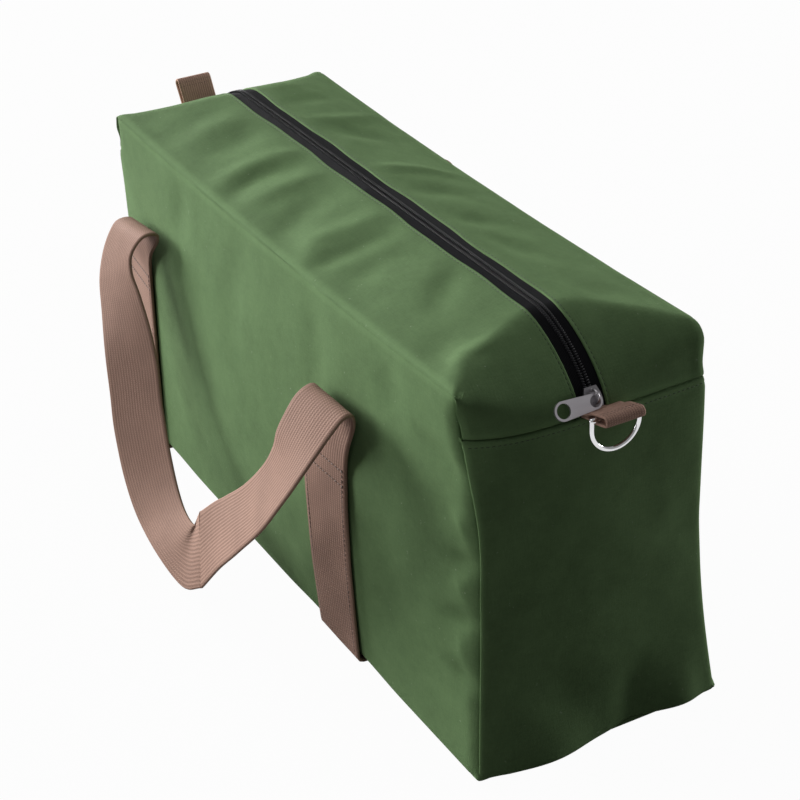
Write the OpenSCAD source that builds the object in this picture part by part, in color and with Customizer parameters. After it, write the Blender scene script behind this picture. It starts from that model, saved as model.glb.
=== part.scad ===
// Zip-top canvas tool bag with two webbing handles, an end loop and a D-ring.
// X runs along the bag, Y from front to back, Z up; the bag rests on its two belts at Z = 0.

/* [Bag] */
// Length over the bottom corners
bag_length = 509; // [470:1:540]
// Length over the top corners
top_length = 465; // [440:1:490]
// Depth over the bottom corners
bag_depth = 168; // [150:1:190]
// Depth over the top corners
top_depth = 156; // [146:1:166]
// Height of the four top corners
seam_height = 242; // [232:1:252]
// Height of the zip along the middle of the top
zip_height = 257; // [254:1:262]
// How far the long top seams sag at their middle
seam_sag = 4; // [0:0.5:6]
// How far the front and back panels belly out
belly_front = 15; // [8:1:16]
// How far the end panels belly out
belly_end = 5; // [2:1:8]
// How far the upright seams draw in at mid height
corner_draw = 6; // [3:1:8]
// How far the upright seams draw in along the bag below the end seams
end_draw = 12; // [8:1:14]
// Thickness of the canvas with its seam allowance
canvas_t = 2; // [1.5:0.1:2.5]
// Height of the seam across each end
drop_height = 214; // [210:1:216]

/* [Zip] */
// Width of the gap between the two canvas edges
zip_gap = 17; // [16:0.5:20]
// Thickness of the zip tape
tape_t = 1; // [0.8:0.1:1.2]
// Width of one row of coil
coil_w = 2.2; // [1.8:0.1:2.4]
// Height of the closed coil
coil_h = 2.4; // [2:0.1:2.6]
// Half length of the part of the top that opens
flap_half = 150; // [140:1:160]
// Length of the slider
slider_len = 11.5; // [11:0.5:13]
// Width of the slider
slider_w = 11.6; // [11:0.2:12]
// Length of the pull tab between the centres of its two holes
tab_len = 20; // [18:1:24]
// Width of the pull tab at its free end
tab_w = 11; // [10:0.5:12]

/* [Webbing] */
// Width of the handle webbing
handle_w = 50; // [40:1:52]
// Thickness of the handle webbing
web_t = 2.4; // [1.8:0.1:2.8]
// Distance between the two belts that carry the handles
belt_spacing = 300; // [280:1:300]
// How far the handles sit to the left of the middle
handle_shift = 58; // [30:1:58]
// Height to which the belts are sewn to the panels
sewn_height = 142; // [130:1:142]
// Width of the loop webbing
loop_w = 25; // [20:1:27]
// Thickness of the loop webbing
loop_t = 1.6; // [1.4:0.1:1.8]
// How far the right loop stands out
loop_reach_right = 20; // [19:1:22]
// How far the left loop stands up
loop_reach_left = 32; // [28:1:34]

/* [D-ring] */
// Wire diameter of the ring
ring_wire = 3; // [2.6:0.1:3.2]
// Clear width inside the ring
ring_inner = 27.5; // [26.5:0.5:29]
// Depth of the ring between its bar and the far wire, centre to centre
ring_depth = 21; // [18:0.5:22]

/* [Hidden] */

canvas = [0.40, 0.50, 0.34];
webbing = [0.50, 0.40, 0.36];
black = [0.07, 0.07, 0.08];
gunmetal = [0.42, 0.41, 0.42];
chrome = [0.82, 0.82, 0.84];

seam_clear = 0.2;
panel_clear = 0.7;
riser_clear = 0.8;
flap_clear = 0.35;
base_z = web_t + seam_clear;
zip_half = zip_gap / 2;
coil_inner = 0.6;
side_swell = 4;
swell_power = 3.5;
draw_until = 0.86;
shoulder_x = 55;
shoulder_z = 40;
shoulder_power = 1.5;
crown_power = 1.6;
corner_round = 0.5;
flat_until = 0.25;
curve_until = 0.8;
belt_right_x = belt_spacing / 2 - handle_shift;
belt_left_x = -belt_spacing / 2 - handle_shift;
round_fn = 48;

function mix(a, b, k) = a + (b - a) * k;
function unit(v) = v / norm(v);

// Half length and half depth of the bag at the share v of the seam height
function half_x(v) = mix(bag_length, top_length, pow(v, swell_power)) / 2 + side_swell * sin(180 * v)
    - end_draw * sin(180 * min(v / draw_until, 1));
function half_y(v) = mix(bag_depth, top_depth, v) / 2 - corner_draw * sin(180 * v);
function seam_z(u) = seam_height - seam_sag * (1 - u * u);

// A point of the front panel, u along X from -1 to 1, v up from 0 to 1, inset inward
function front_at(u, v, inset) = [
    u * (half_x(v) - inset - panel_clear),
    -(half_y(v) - inset + belly_front * (1 - u * u) * sin(180 * v)),
    mix(base_z + inset + seam_clear, seam_z(u) - inset - flap_clear, v)];

// Outer X of an end at height z and at the share w of the half depth
function end_x(z, w) = half_x(z / seam_height) + belly_end * (1 - w * w) * sin(180 * z / seam_height);
function end_at(w, v, inset) = let (
    z = mix(base_z + inset + seam_clear, drop_height - seam_clear, v),
    y = w * (half_y(z / seam_height) - inset - seam_clear))
    [end_x(z, w) - inset, y, z];

// Height of the top between the seam, w = 1, and the zip, w = 0
function top_z(u, w) = mix(zip_height, seam_z(u), pow(w, crown_power));

// A point of the top's end, q from the flap's edge over the shoulder to the end seam:
// flat at first, then round the shoulder, then straight down
function shoulder_at(w, q, inset) = let (
    rise = 1 - w * w,
    long = max(shoulder_x * rise + corner_round - inset, 0.1),
    tall = max(shoulder_z * rise + corner_round - inset, 0.1),
    out = end_x(top_z(1, w) - inset - tall, w) - inset,
    flat = mix(flap_half + flap_clear, out - long, min(q / flat_until, 1)),
    top = top_z(min(flat / half_x(1), 1), w) - inset,
    a = 90 * (q - flat_until) / (curve_until - flat_until),
    drop = (q - curve_until) / (1 - curve_until),
    x = q < flat_until ? flat
        : q < curve_until ? out - long + long * pow(sin(a), 2 / shoulder_power)
        : end_x(mix(top - tall, drop_height, drop), w) - inset,
    z = q < flat_until ? top
        : q < curve_until ? top - tall + tall * pow(cos(a), 2 / shoulder_power)
        : mix(top - tall, drop_height + seam_clear, drop))
    [x, w * (half_y(min(z / seam_height, 1)) - inset), z];

// A closed solid between two grids of points that have the same number of rows and columns
module slab(outer, inner, flip = false) {
    rows = len(outer);
    cols = len(outer[0]);
    all = concat([for (r = outer) each r], [for (r = inner) each r]);
    n = rows * cols;
    function at(side, r, c) = side * n + r * cols + c;
    function quad(a, b, c, d) = [[a, b, c], [a, c, d]];
    skin = [for (r = [0:rows - 2]) for (c = [0:cols - 2])
        each concat(
            quad(at(0, r, c), at(0, r, c + 1), at(0, r + 1, c + 1), at(0, r + 1, c)),
            quad(at(1, r, c), at(1, r + 1, c), at(1, r + 1, c + 1), at(1, r, c + 1)))];
    ends = [for (r = [0:rows - 2]) each concat(
        quad(at(0, r, 0), at(0, r + 1, 0), at(1, r + 1, 0), at(1, r, 0)),
        quad(at(0, r, cols - 1), at(1, r, cols - 1), at(1, r + 1, cols - 1), at(0, r + 1, cols - 1)))];
    edges = [for (c = [0:cols - 2]) each concat(
        quad(at(0, 0, c), at(1, 0, c), at(1, 0, c + 1), at(0, 0, c + 1)),
        quad(at(0, rows - 1, c), at(0, rows - 1, c + 1), at(1, rows - 1, c + 1), at(1, rows - 1, c)))];
    faces = concat(skin, ends, edges);
    turned = flip ? [for (f = faces) [f[2], f[1], f[0]]] : faces;
    polyhedron(points = all, faces = turned, convexity = 6);
}

// Panels
panel_cols = 12;
panel_rows = 8;
end_cols = 6;

module long_panel() {
    outer = [for (r = [0:panel_rows]) [for (c = [0:panel_cols])
        front_at(2 * c / panel_cols - 1, r / panel_rows, 0)]];
    inner = [for (r = [0:panel_rows]) [for (c = [0:panel_cols])
        front_at(2 * c / panel_cols - 1, r / panel_rows, canvas_t)]];
    slab(outer, inner, true);
}

module end_panel() {
    outer = [for (r = [0:panel_rows]) [for (c = [0:end_cols])
        end_at(2 * c / end_cols - 1, r / panel_rows, 0)]];
    inner = [for (r = [0:panel_rows]) [for (c = [0:end_cols])
        end_at(2 * c / end_cols - 1, r / panel_rows, canvas_t)]];
    slab(outer, inner, true);
}

module front_panel() {
    color(canvas) long_panel();
}

module back_panel() {
    color(canvas) mirror([0, 1, 0]) long_panel();
}

module right_end_panel() {
    color(canvas) end_panel();
}

module left_end_panel() {
    color(canvas) mirror([1, 0, 0]) end_panel();
}

module bottom_panel() {
    low_x = half_x(0) - seam_clear;
    low_y = half_y(0) - seam_clear;
    outer = [[[-low_x, -low_y, base_z], [low_x, -low_y, base_z]],
        [[-low_x, low_y, base_z], [low_x, low_y, base_z]]];
    inner = [for (row = outer) [for (p = row)
        [p[0] - sign(p[0]) * canvas_t, p[1] - sign(p[1]) * canvas_t, base_z + canvas_t]]];
    color(canvas) slab(outer, inner);
}

// Top strips
strip_cols = 10;
strip_rows = 5;
zip_share = zip_half / half_y(1);

module top_strip() {
    function at(r, c, inset) = let (
        w = mix(1, zip_share, r / strip_rows),
        x = mix(-flap_half, flap_half, c / strip_cols),
        u = x / half_x(1))
        [x, -w * (half_y(1) - (1 - r / strip_rows) * inset), top_z(u, w) - inset];
    outer = [for (r = [0:strip_rows]) [for (c = [0:strip_cols]) at(r, c, 0)]];
    inner = [for (r = [0:strip_rows]) [for (c = [0:strip_cols]) at(r, c, canvas_t)]];
    slab(outer, inner, true);
}

module top_strip_front() {
    color(canvas) top_strip();
}

module top_strip_back() {
    color(canvas) mirror([0, 1, 0]) top_strip();
}

end_rows = 5;
end_steps = 18;

module top_end(side_y, side_x) {
    function at(r, c, inset) = let (
        w = mix(1, zip_share, r / end_rows),
        p = shoulder_at(w, c / end_steps, inset))
        [p[0], -p[1], p[2]];
    outer = [for (r = [0:end_rows]) [for (c = [0:end_steps]) at(r, c, 0)]];
    inner = [for (r = [0:end_rows]) [for (c = [0:end_steps]) at(r, c, canvas_t)]];
    mirror([side_x < 0 ? 1 : 0, 0, 0]) mirror([0, side_y > 0 ? 1 : 0, 0]) slab(outer, inner, true);
}

module top_end_front_right() {
    color(canvas) top_end(-1, 1);
}

module top_end_back_right() {
    color(canvas) top_end(1, 1);
}

module top_end_front_left() {
    color(canvas) top_end(-1, -1);
}

module top_end_back_left() {
    color(canvas) top_end(1, -1);
}

// Zip
tape_edge = zip_half - 0.6;
coil_outer = coil_inner + coil_w;
tape_drop = 1;
coil_drop = 0.3;

// A straight strip along the opening part of the zip
module zip_bar(near, far, drop, thick) {
    translate([-flap_half, -far, zip_height - drop - thick]) cube([2 * flap_half, far - near, thick]);
}

// The same strip from the flap's edge over the shoulder to the end seam
module zip_tail(near, far, drop, thick, side_y, side_x) {
    function at(y, c, inset) = let (p = shoulder_at(0, c / end_steps, inset)) [p[0], -y, p[2]];
    outer = [for (y = [far, near]) [for (c = [0:end_steps]) at(y, c, drop)]];
    inner = [for (y = [far, near]) [for (c = [0:end_steps]) at(y, c, drop + thick)]];
    mirror([side_x < 0 ? 1 : 0, 0, 0]) mirror([0, side_y > 0 ? 1 : 0, 0]) slab(outer, inner, true);
}

module tape_tail(side_y, side_x) {
    color(black) zip_tail(coil_outer + 0.1, tape_edge, tape_drop, tape_t, side_y, side_x);
}

module coil_tail(side_y, side_x) {
    color(black) zip_tail(coil_inner, coil_outer, coil_drop, coil_h, side_y, side_x);
}

module zip_tape_front() {
    color(black) zip_bar(coil_outer + 0.1, tape_edge, tape_drop, tape_t);
}

module zip_tape_back() {
    color(black) mirror([0, 1, 0]) zip_bar(coil_outer + 0.1, tape_edge, tape_drop, tape_t);
}

module zip_coil_front() {
    color(black) zip_bar(coil_inner, coil_outer, coil_drop, coil_h);
}

module zip_coil_back() {
    color(black) mirror([0, 1, 0]) zip_bar(coil_inner, coil_outer, coil_drop, coil_h);
}

module zip_tape_end_front_right() { tape_tail(-1, 1); }
module zip_tape_end_back_right() { tape_tail(1, 1); }
module zip_tape_end_front_left() { tape_tail(-1, -1); }
module zip_tape_end_back_left() { tape_tail(1, -1); }
module zip_coil_end_front_right() { coil_tail(-1, 1); }
module zip_coil_end_back_right() { coil_tail(1, 1); }
module zip_coil_end_front_left() { coil_tail(-1, -1); }
module zip_coil_end_back_left() { coil_tail(1, -1); }

// Where the slider sits on the shoulder, and how steeply the zip falls there
slider_q = 0.71;
slider_low = shoulder_at(0, slider_q + 0.02, 0);
slider_high = shoulder_at(0, slider_q - 0.02, 0);
slider_at = shoulder_at(0, slider_q, 0);
slider_tilt = atan2(slider_high[2] - slider_low[2], slider_low[0] - slider_high[0]);

// Places a part on the zip: its own X runs down the zip and its own Z stands off the canvas
module on_slider() {
    translate(slider_at) rotate([0, slider_tilt, 0]) children();
}

plate_t = 1.4;
channel_h = 4.4;
plate_z = 0.5;
plate_top = plate_z + plate_t;
tail_share = 0.66;
divider_len = 3;
divider_w = 0.8;
bail_wire = 1.6;
bail_span = 3.6;
bail_rise = 2.2;

// The slider narrows towards the closed teeth
module slider_plate() {
    half = slider_len / 2;
    wide = slider_w / 2;
    linear_extrude(height = plate_t) polygon([[-half, -wide * tail_share], [-half / 5, -wide * 0.93],
        [half / 3, -wide], [half, -wide * 0.9], [half, wide * 0.9], [half / 3, wide],
        [-half / 5, wide * 0.93], [-half, wide * tail_share]]);
}

module zip_slider() {
    color(gunmetal) on_slider() {
        translate([0, 0, plate_z]) slider_plate();
        translate([0, 0, plate_z - channel_h - plate_t]) slider_plate();
        translate([slider_len / 2 - divider_len, -divider_w / 2, plate_z - channel_h])
            cube([divider_len, divider_w, channel_h]);
    }
}

module zip_bail() {
    foot = plate_top + seam_clear;
    color(gunmetal) on_slider() {
        for (x = [-bail_span, bail_span])
            translate([x, 0, foot]) cylinder(d = bail_wire, h = bail_rise, $fn = round_fn);
        translate([0, 0, foot + bail_rise]) rotate([90, 0, 0])
            rotate_extrude(angle = 180, $fn = round_fn) translate([bail_span, 0]) circle(d = bail_wire);
    }
}

tab_t = 1.6;
tab_eye_w = 8.8;
tab_eye_hole = 6.6;
tab_hole = 8.4;
tab_x = 2.3;
tab_y = -1.2;
tab_z = plate_top + 2.2;

// The pull tab lies sideways across the end of the bag, towards the front
module zip_pull_tab() {
    color(gunmetal) on_slider() translate([tab_x, tab_y, tab_z]) difference() {
        union() {
            cylinder(d = tab_eye_w, h = tab_t, $fn = round_fn);
            translate([0, -tab_len, 0]) cylinder(d = tab_w, h = tab_t, $fn = round_fn);
            linear_extrude(height = tab_t) polygon([[-tab_eye_w / 2, 0], [-tab_w / 2, -tab_len],
                [tab_w / 2, -tab_len], [tab_eye_w / 2, 0]]);
        }
        translate([0, 0, -1]) cylinder(d = tab_eye_hole, h = tab_t + 2, $fn = round_fn);
        translate([0, -tab_len, -1]) cylinder(d = tab_hole, h = tab_t + 2, $fn = round_fn);
    }
}

// Belts that run up both faces and under the bag
belt_rows = 8;

module riser(centre) {
    function at(r, c, lift) = let (
        z = mix(0, sewn_height, r / belt_rows),
        x = centre + handle_w * (c - 0.5),
        v = max(z - base_z, 0) / (seam_height - base_z),
        u = x / half_x(v),
        p = front_at(u, v, 0))
        [x, p[1] - riser_clear - lift, z];
    outer = [for (r = [0:belt_rows]) [for (c = [0:2]) at(r, c / 2, web_t)]];
    inner = [for (r = [0:belt_rows]) [for (c = [0:2]) at(r, c / 2, 0)]];
    slab(outer, inner, true);
}

module belt(centre) {
    run = half_y(0) + riser_clear + web_t;
    color(webbing) union() {
        riser(centre);
        mirror([0, 1, 0]) riser(centre);
        translate([centre - handle_w / 2, -run, 0]) cube([handle_w, 2 * run, web_t]);
    }
}

module belt_right() {
    belt(belt_right_x);
}

module belt_left() {
    belt(belt_left_x);
}

// A flat strap through pairs of edge points, one pair a station
module ribbon(stations) {
    last = len(stations) - 1;
    middle = [for (s = stations) (s[0] + s[1]) / 2];
    lift = [for (i = [0:last]) let (
        along = middle[min(i + 1, last)] - middle[max(i - 1, 0)],
        across = stations[i][1] - stations[i][0])
        unit(cross(across, along)) * web_t / 2];
    outer = [for (i = [0:last]) [for (k = [0, 0.5, 1])
        mix(stations[i][0], stations[i][1], k) + lift[i]]];
    inner = [for (i = [0:last]) [for (k = [0, 0.5, 1])
        mix(stations[i][0], stations[i][1], k) - lift[i]]];
    slab(outer, inner, true);
}

// The front handle's route from left to right, each station the pair of the strap's edge points
front_route = [
    [[-197, -103, 179], [-149, -103, 187]],
    [[-203, -107, 161], [-155, -106, 174]],
    [[-197, -115, 142], [-152, -108, 162]],
    [[-181, -122, 124], [-141, -108, 150]],
    [[-164, -129, 104], [-128, -108, 131]],
    [[-150, -134, 79], [-116, -110, 109]],
    [[-138, -138, 54], [-102, -115, 83]],
    [[-117, -142, 28], [-78, -121, 51]],
    [[-90, -145, 12], [-51, -127, 39]],
    [[-48, -148, 6], [-21, -132, 42]],
    [[-10, -148, 5], [-20, -128, 49]],
    [[12, -144, 16], [-9, -131, 59]],
    [[40, -143, 46], [9, -128, 75]],
    [[69, -142, 74], [23, -126, 86]],
    [[103, -138, 109], [55, -125, 112]],
    [[128, -133, 142], [79, -123, 137]],
    [[139, -127, 161], [91, -121, 155]],
    [[141, -118, 173], [93, -118, 168]],
    [[141, -107, 183], [93, -110, 180]]];

// Free part of each front riser, from the sewn top over the bend
front_bend_right = [
    [[67, -90.6, 142.6], [117, -90.6, 142.6]],
    [[75, -89.5, 160], [125, -89.5, 160]],
    [[84, -89, 177], [133, -89, 178]],
    [[89, -92, 187], [138, -92, 189]],
    [[92, -99, 189], [140, -98, 191]],
    [[93, -107.5, 184], [141, -105.5, 186]]];
front_bend_left = [
    [[-233, -83.5, 142.6], [-183, -83.5, 142.6]],
    [[-223, -84.5, 158], [-174, -84.5, 160]],
    [[-205, -85, 176], [-158, -85, 181]],
    [[-196, -88, 185], [-150, -88, 191]],
    [[-194, -95, 188], [-147, -95, 195]],
    [[-196, -101, 184.5], [-148, -101, 192]]];

function flipped(route) = [for (s = route) [for (p = s) [p[0], -p[1], p[2]]]];

// The back handle hangs like the front one, but its left bend stands higher and farther in
back_route = [
    [[-162, 126, 181], [-114, 126, 187]],
    [[-164, 131, 163], [-116, 130, 174]],
    [[-166, 136, 142], [-120, 132, 160]],
    [[-162, 139, 122], [-118, 131, 144]],
    [[-154, 141, 100], [-112, 130, 125]],
    [[-145, 142, 76], [-104, 129, 102]],
    [[-134, 143, 52], [-94, 129, 80]],
    [[-115, 144, 28], [-76, 130, 56]],
    [[-90, 146, 12], [-51, 131, 41]],
    [[-48, 148, 6], [-21, 133, 43]],
    [[-10, 148, 5], [-20, 130, 50]],
    [[12, 146, 16], [-9, 133, 60]],
    [[40, 145, 46], [9, 131, 75]],
    [[69, 144, 74], [23, 129, 86]],
    [[103, 141, 109], [55, 128, 112]],
    [[128, 137, 142], [79, 127, 138]],
    [[136, 134, 158], [87, 127, 153]],
    [[137, 130, 170], [89, 126, 166]],
    [[136, 124, 182], [88, 124, 178]]];
back_bend_right = [
    [[67, 90.6, 142.6], [117, 90.6, 142.6]],
    [[73, 91, 160], [123, 91, 160]],
    [[80, 95, 177], [129, 95, 178]],
    [[84, 104, 187], [133, 104, 189]],
    [[87, 114, 190], [135, 114, 192]],
    [[88, 121.5, 183], [136, 121.5, 186]]];
back_bend_left = [
    [[-233, 83.5, 142.6], [-183, 83.5, 142.6]],
    [[-216, 86, 158], [-168, 87, 163]],
    [[-192, 94, 178], [-146, 95, 186]],
    [[-174, 104, 192], [-127, 105, 199]],
    [[-164, 115, 197], [-116, 116, 203]],
    [[-162, 123.5, 187], [-114, 123.5, 193]]];

module handle_front() {
    color(webbing) ribbon(front_route);
}

module handle_back() {
    color(webbing) mirror([0, 1, 0]) ribbon(flipped(back_route));
}

module handle_bend_front_right() {
    color(webbing) ribbon(front_bend_right);
}

module handle_bend_front_left() {
    color(webbing) ribbon(front_bend_left);
}

module handle_bend_back_right() {
    color(webbing) mirror([0, 1, 0]) ribbon(flipped(back_bend_right));
}

module handle_bend_back_left() {
    color(webbing) mirror([0, 1, 0]) ribbon(flipped(back_bend_left));
}

// Loops sewn into the end seams, and the ring that hangs in the right one
bar_clear = 0.3;
fold_inner = ring_wire / 2 + bar_clear;
fold_outer = fold_inner + loop_t;
loop_root_rise = 1.5;
loop_root_off = 0.6;
loop_root_flat = 3.5;
loop_open_at = 9;
loop_slit_at = 4.5;
loop_slit = 0.2;
loop_y_right = 5;
loop_y_left = -7;
loop_tilt_right = 16;
loop_tilt_left = 60;
loop_root_x = end_x(drop_height, 0) + loop_root_off;
loop_root_z = drop_height + loop_root_rise;

// A folded length of webbing, seen from its side: sewn flat at the root, open beyond it
module loop_profile(reach) {
    difference() {
        union() {
            circle(r = fold_outer, $fn = round_fn);
            polygon([[0, fold_outer], [loop_open_at - reach, fold_outer], [loop_root_flat - reach, loop_t],
                [-reach, loop_t], [-reach, -loop_t], [loop_root_flat - reach, -loop_t],
                [loop_open_at - reach, -fold_outer], [0, -fold_outer]]);
        }
        circle(r = fold_inner, $fn = round_fn);
        polygon([[0, fold_inner], [loop_open_at - reach, fold_inner],
            [loop_slit_at - reach, loop_slit / 2], [loop_slit_at - reach, -loop_slit / 2],
            [loop_open_at - reach, -fold_inner], [0, -fold_inner]]);
    }
}

module loop(reach, tilt, y_mid) {
    translate([loop_root_x, y_mid, loop_root_z]) rotate([0, -tilt, 0]) translate([reach, loop_w / 2, 0])
        rotate([90, 0, 0]) linear_extrude(height = loop_w) loop_profile(reach);
}

module loop_right() {
    color(webbing) loop(loop_reach_right, loop_tilt_right, loop_y_right);
}

module loop_left() {
    color(webbing) mirror([1, 0, 0]) loop(loop_reach_left, loop_tilt_left, loop_y_left);
}

ring_half = (ring_inner + ring_wire) / 2;
ring_seat = 12.5;
ring_x = loop_root_x + ring_seat * cos(loop_tilt_right);
ring_z = loop_root_z + ring_seat * sin(loop_tilt_right);

// The ring hangs straight down from its bar, which lies inside the right loop
module d_ring() {
    leg = ring_depth - ring_half;
    color(chrome) translate([ring_x, loop_y_right, ring_z]) {
        rotate([90, 0, 0]) translate([0, 0, -ring_half])
            cylinder(d = ring_wire, h = 2 * ring_half, $fn = round_fn);
        for (y = [-ring_half, ring_half]) {
            translate([0, y, 0]) sphere(d = ring_wire, $fn = round_fn);
            translate([0, y, -leg]) cylinder(d = ring_wire, h = leg, $fn = round_fn);
        }
        translate([0, 0, -leg]) rotate([0, 90, 0]) rotate([0, 0, -90])
            rotate_extrude(angle = 180, $fn = round_fn) translate([ring_half, 0]) circle(d = ring_wire);
    }
}

echo(slider_at = slider_at, slider_tilt = slider_tilt);
echo(ring_x = ring_x, ring_z = ring_z, loop_root_x = loop_root_x);

front_panel();
back_panel();
right_end_panel();
left_end_panel();
bottom_panel();
top_strip_front();
top_strip_back();
top_end_front_right();
top_end_back_right();
top_end_front_left();
top_end_back_left();
zip_tape_front();
zip_tape_back();
zip_coil_front();
zip_coil_back();
zip_tape_end_front_right();
zip_tape_end_back_right();
zip_tape_end_front_left();
zip_tape_end_back_left();
zip_coil_end_front_right();
zip_coil_end_back_right();
zip_coil_end_front_left();
zip_coil_end_back_left();
zip_slider();
zip_bail();
zip_pull_tab();
belt_right();
belt_left();
handle_front();
handle_back();
handle_bend_front_right();
handle_bend_front_left();
handle_bend_back_right();
handle_bend_back_left();
loop_right();
loop_left();
d_ring();
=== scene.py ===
"""Looks of the zip-top canvas tool bag: sewn canvas, coil zip, webbing handles, loops and ring."""
import math

import bmesh
import bpy
import numpy as np
from bpy.props import FloatProperty, FloatVectorProperty
from mathutils import Matrix, Vector, noise


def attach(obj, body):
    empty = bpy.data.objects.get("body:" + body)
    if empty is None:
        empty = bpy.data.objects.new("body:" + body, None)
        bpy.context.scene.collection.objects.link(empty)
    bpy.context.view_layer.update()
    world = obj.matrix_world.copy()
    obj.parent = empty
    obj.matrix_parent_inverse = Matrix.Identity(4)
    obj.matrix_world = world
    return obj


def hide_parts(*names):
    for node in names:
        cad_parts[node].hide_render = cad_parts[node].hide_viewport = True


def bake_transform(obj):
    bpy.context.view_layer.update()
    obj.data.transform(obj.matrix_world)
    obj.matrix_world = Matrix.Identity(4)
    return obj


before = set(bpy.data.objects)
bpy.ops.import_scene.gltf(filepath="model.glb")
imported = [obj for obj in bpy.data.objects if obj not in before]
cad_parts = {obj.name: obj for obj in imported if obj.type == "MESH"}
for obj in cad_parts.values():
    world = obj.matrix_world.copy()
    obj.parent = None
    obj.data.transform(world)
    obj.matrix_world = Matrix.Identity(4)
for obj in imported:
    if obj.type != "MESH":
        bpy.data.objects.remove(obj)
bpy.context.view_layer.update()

bl_info = {
    "name": "Canvas tool bag",
    "version": (1, 0, 0),
    "blender": (4, 5, 0),
    "location": "3D View > Sidebar > Tool bag",
    "description": "Sewn canvas, zip, webbing and fittings of a tool bag over its packed frame",
    "category": "Object",
}

MM = 0.001
ENDS = {"right": 1, "left": -1}  # along X
SIDES = {"front": -1, "back": 1}  # along Y
BELT_AT = {"right": 92 * MM, "left": -208 * MM}  # middle of each belt
BELT_HALF = 25 * MM


# Sizes and colours

def metres(name, description, default):
    """A length"""
    return FloatProperty(name=name, description=description, default=default, unit="LENGTH")


def linear_colour(name, description, default):
    """A colour in linear values"""
    return FloatVectorProperty(name=name, description=description, subtype="COLOR", size=3,
                               default=default, min=0, max=1)


class BagSizes(bpy.types.PropertyGroup):
    """Sizes of the canvas body"""
    length: metres("Bottom length", "Length over the bottom corners", 0.509)
    top_length: metres("Top length", "Length over the top corners", 0.465)
    depth: metres("Bottom depth", "Depth over the bottom corners", 0.168)
    top_depth: metres("Top depth", "Depth over the top corners", 0.156)
    seam: metres("Seam height", "Height of the four top corners", 0.242)
    zip_height: metres("Zip height", "Height of the zip along the middle", 0.257)
    drop: metres("End seam height", "Height of the seam across each end", 0.214)
    sag: metres("Seam sag", "Sag of the long top seams at their middle", 0.004)
    belly: metres("Side belly", "How far the long panels belly out", 0.015)
    end_belly: metres("End belly", "How far the end panels belly out", 0.005)
    end_draw: metres("End draw", "How far the upright seams draw in below the end seams", 0.012)
    cloth: metres("Canvas thickness", "Thickness of the canvas", 0.001)


class ZipSizes(bpy.types.PropertyGroup):
    """Sizes of the zip"""
    gap: metres("Gap", "Distance between the two canvas edges", 0.017)
    pitch: metres("Tooth pitch", "Distance between two turns of the coil", 0.00155)
    coil_width: metres("Coil width", "Width of one row of the coil", 0.0026)


class WebbingSizes(bpy.types.PropertyGroup):
    """Sizes of the handles and the loops"""
    width: metres("Handle width", "Width of the handle webbing", 0.050)
    thick: metres("Handle thickness", "Thickness of the handle webbing", 0.0024)
    sewn: metres("Sewn height", "Height to which the belts are sewn on", 0.142)
    loop_width: metres("Loop width", "Width of the end loops", 0.025)
    loop_thick: metres("Loop thickness", "Thickness of the loop webbing", 0.0016)


class BagColours(bpy.types.PropertyGroup):
    """Colours of the cloth, the zip and the fittings"""
    canvas: linear_colour("Canvas", "Colour of the canvas", (0.108, 0.176, 0.078))
    webbing: linear_colour("Webbing", "Colour of handles and loops", (0.265, 0.166, 0.130))
    tape: linear_colour("Zip tape", "Colour of the zip tape", (0.0045, 0.0045, 0.0055))
    coil: linear_colour("Zip coil", "Colour of the zip coil", (0.009, 0.009, 0.011))
    gunmetal: linear_colour("Gunmetal", "Colour of the slider and its tab", (0.165, 0.157, 0.166))
    chrome: linear_colour("Chrome", "Colour of the ring's plating", (0.80, 0.80, 0.81))


# Small helpers

def mix(a, b, k):
    return a + (b - a) * k


def ease(k):
    k = np.clip(k, 0, 1)
    return k * k * (3 - 2 * k)


def unit(v):
    return v / np.maximum(np.linalg.norm(v, axis=-1, keepdims=True), 1e-12)


def bump(k):
    """A soft hill that is 1 at k = 0 and fades out near k = 1.5."""
    return np.exp(-k * k * 2)


def wobble(points, size, seed):
    """Smooth uneven heights, about -1 to 1, at an array of points."""
    flat = points.reshape(-1, 3) / size + seed
    values = [noise.noise(Vector(p)) for p in flat]
    return np.array(values).reshape(points.shape[:-1])


def fold(p, q, line, width, height, lean):
    """Height of one fold at (p, q): a soft ridge or valley along a line, leaning to one side."""
    near = np.full(np.shape(p), 1e9)
    side = np.zeros(np.shape(p))
    along = np.zeros(np.shape(p))
    steps = [math.dist(a, b) for a, b in zip(line, line[1:])]
    done = 0
    for (a, b), step in zip(zip(line, line[1:]), steps):
        dx, dy = (b[0] - a[0]) / step, (b[1] - a[1]) / step
        t = np.clip((p - a[0]) * dx + (q - a[1]) * dy, 0, step)
        ox, oy = p - a[0] - t * dx, q - a[1] - t * dy
        far = np.hypot(ox, oy)
        closer = far < near
        near = np.where(closer, far, near)
        side = np.where(closer, ox * dy - oy * dx, side)
        along = np.where(closer, (done + t) / sum(steps), along)
        done += step
    k = near / width
    taper = 0.35 + 0.65 * np.sin(math.pi * along)
    return (height + lean * np.clip(side / width, -1.5, 1.5)) * np.exp(-k * k) * taper


def folds(p, q, table):
    """Sum of a table of folds, written in millimetres."""
    total = np.zeros(np.shape(p))
    for line, width, height, lean in table:
        points = [(a * MM, b * MM) for a, b in line]
        total += fold(p, q, points, width * MM, height * MM, lean * MM)
    return total


def add_object(name, data, materials=()):
    made = bpy.data.objects.new(name, data)
    bpy.context.scene.collection.objects.link(made)
    for m in materials:
        data.materials.append(m)
    return made


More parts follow.
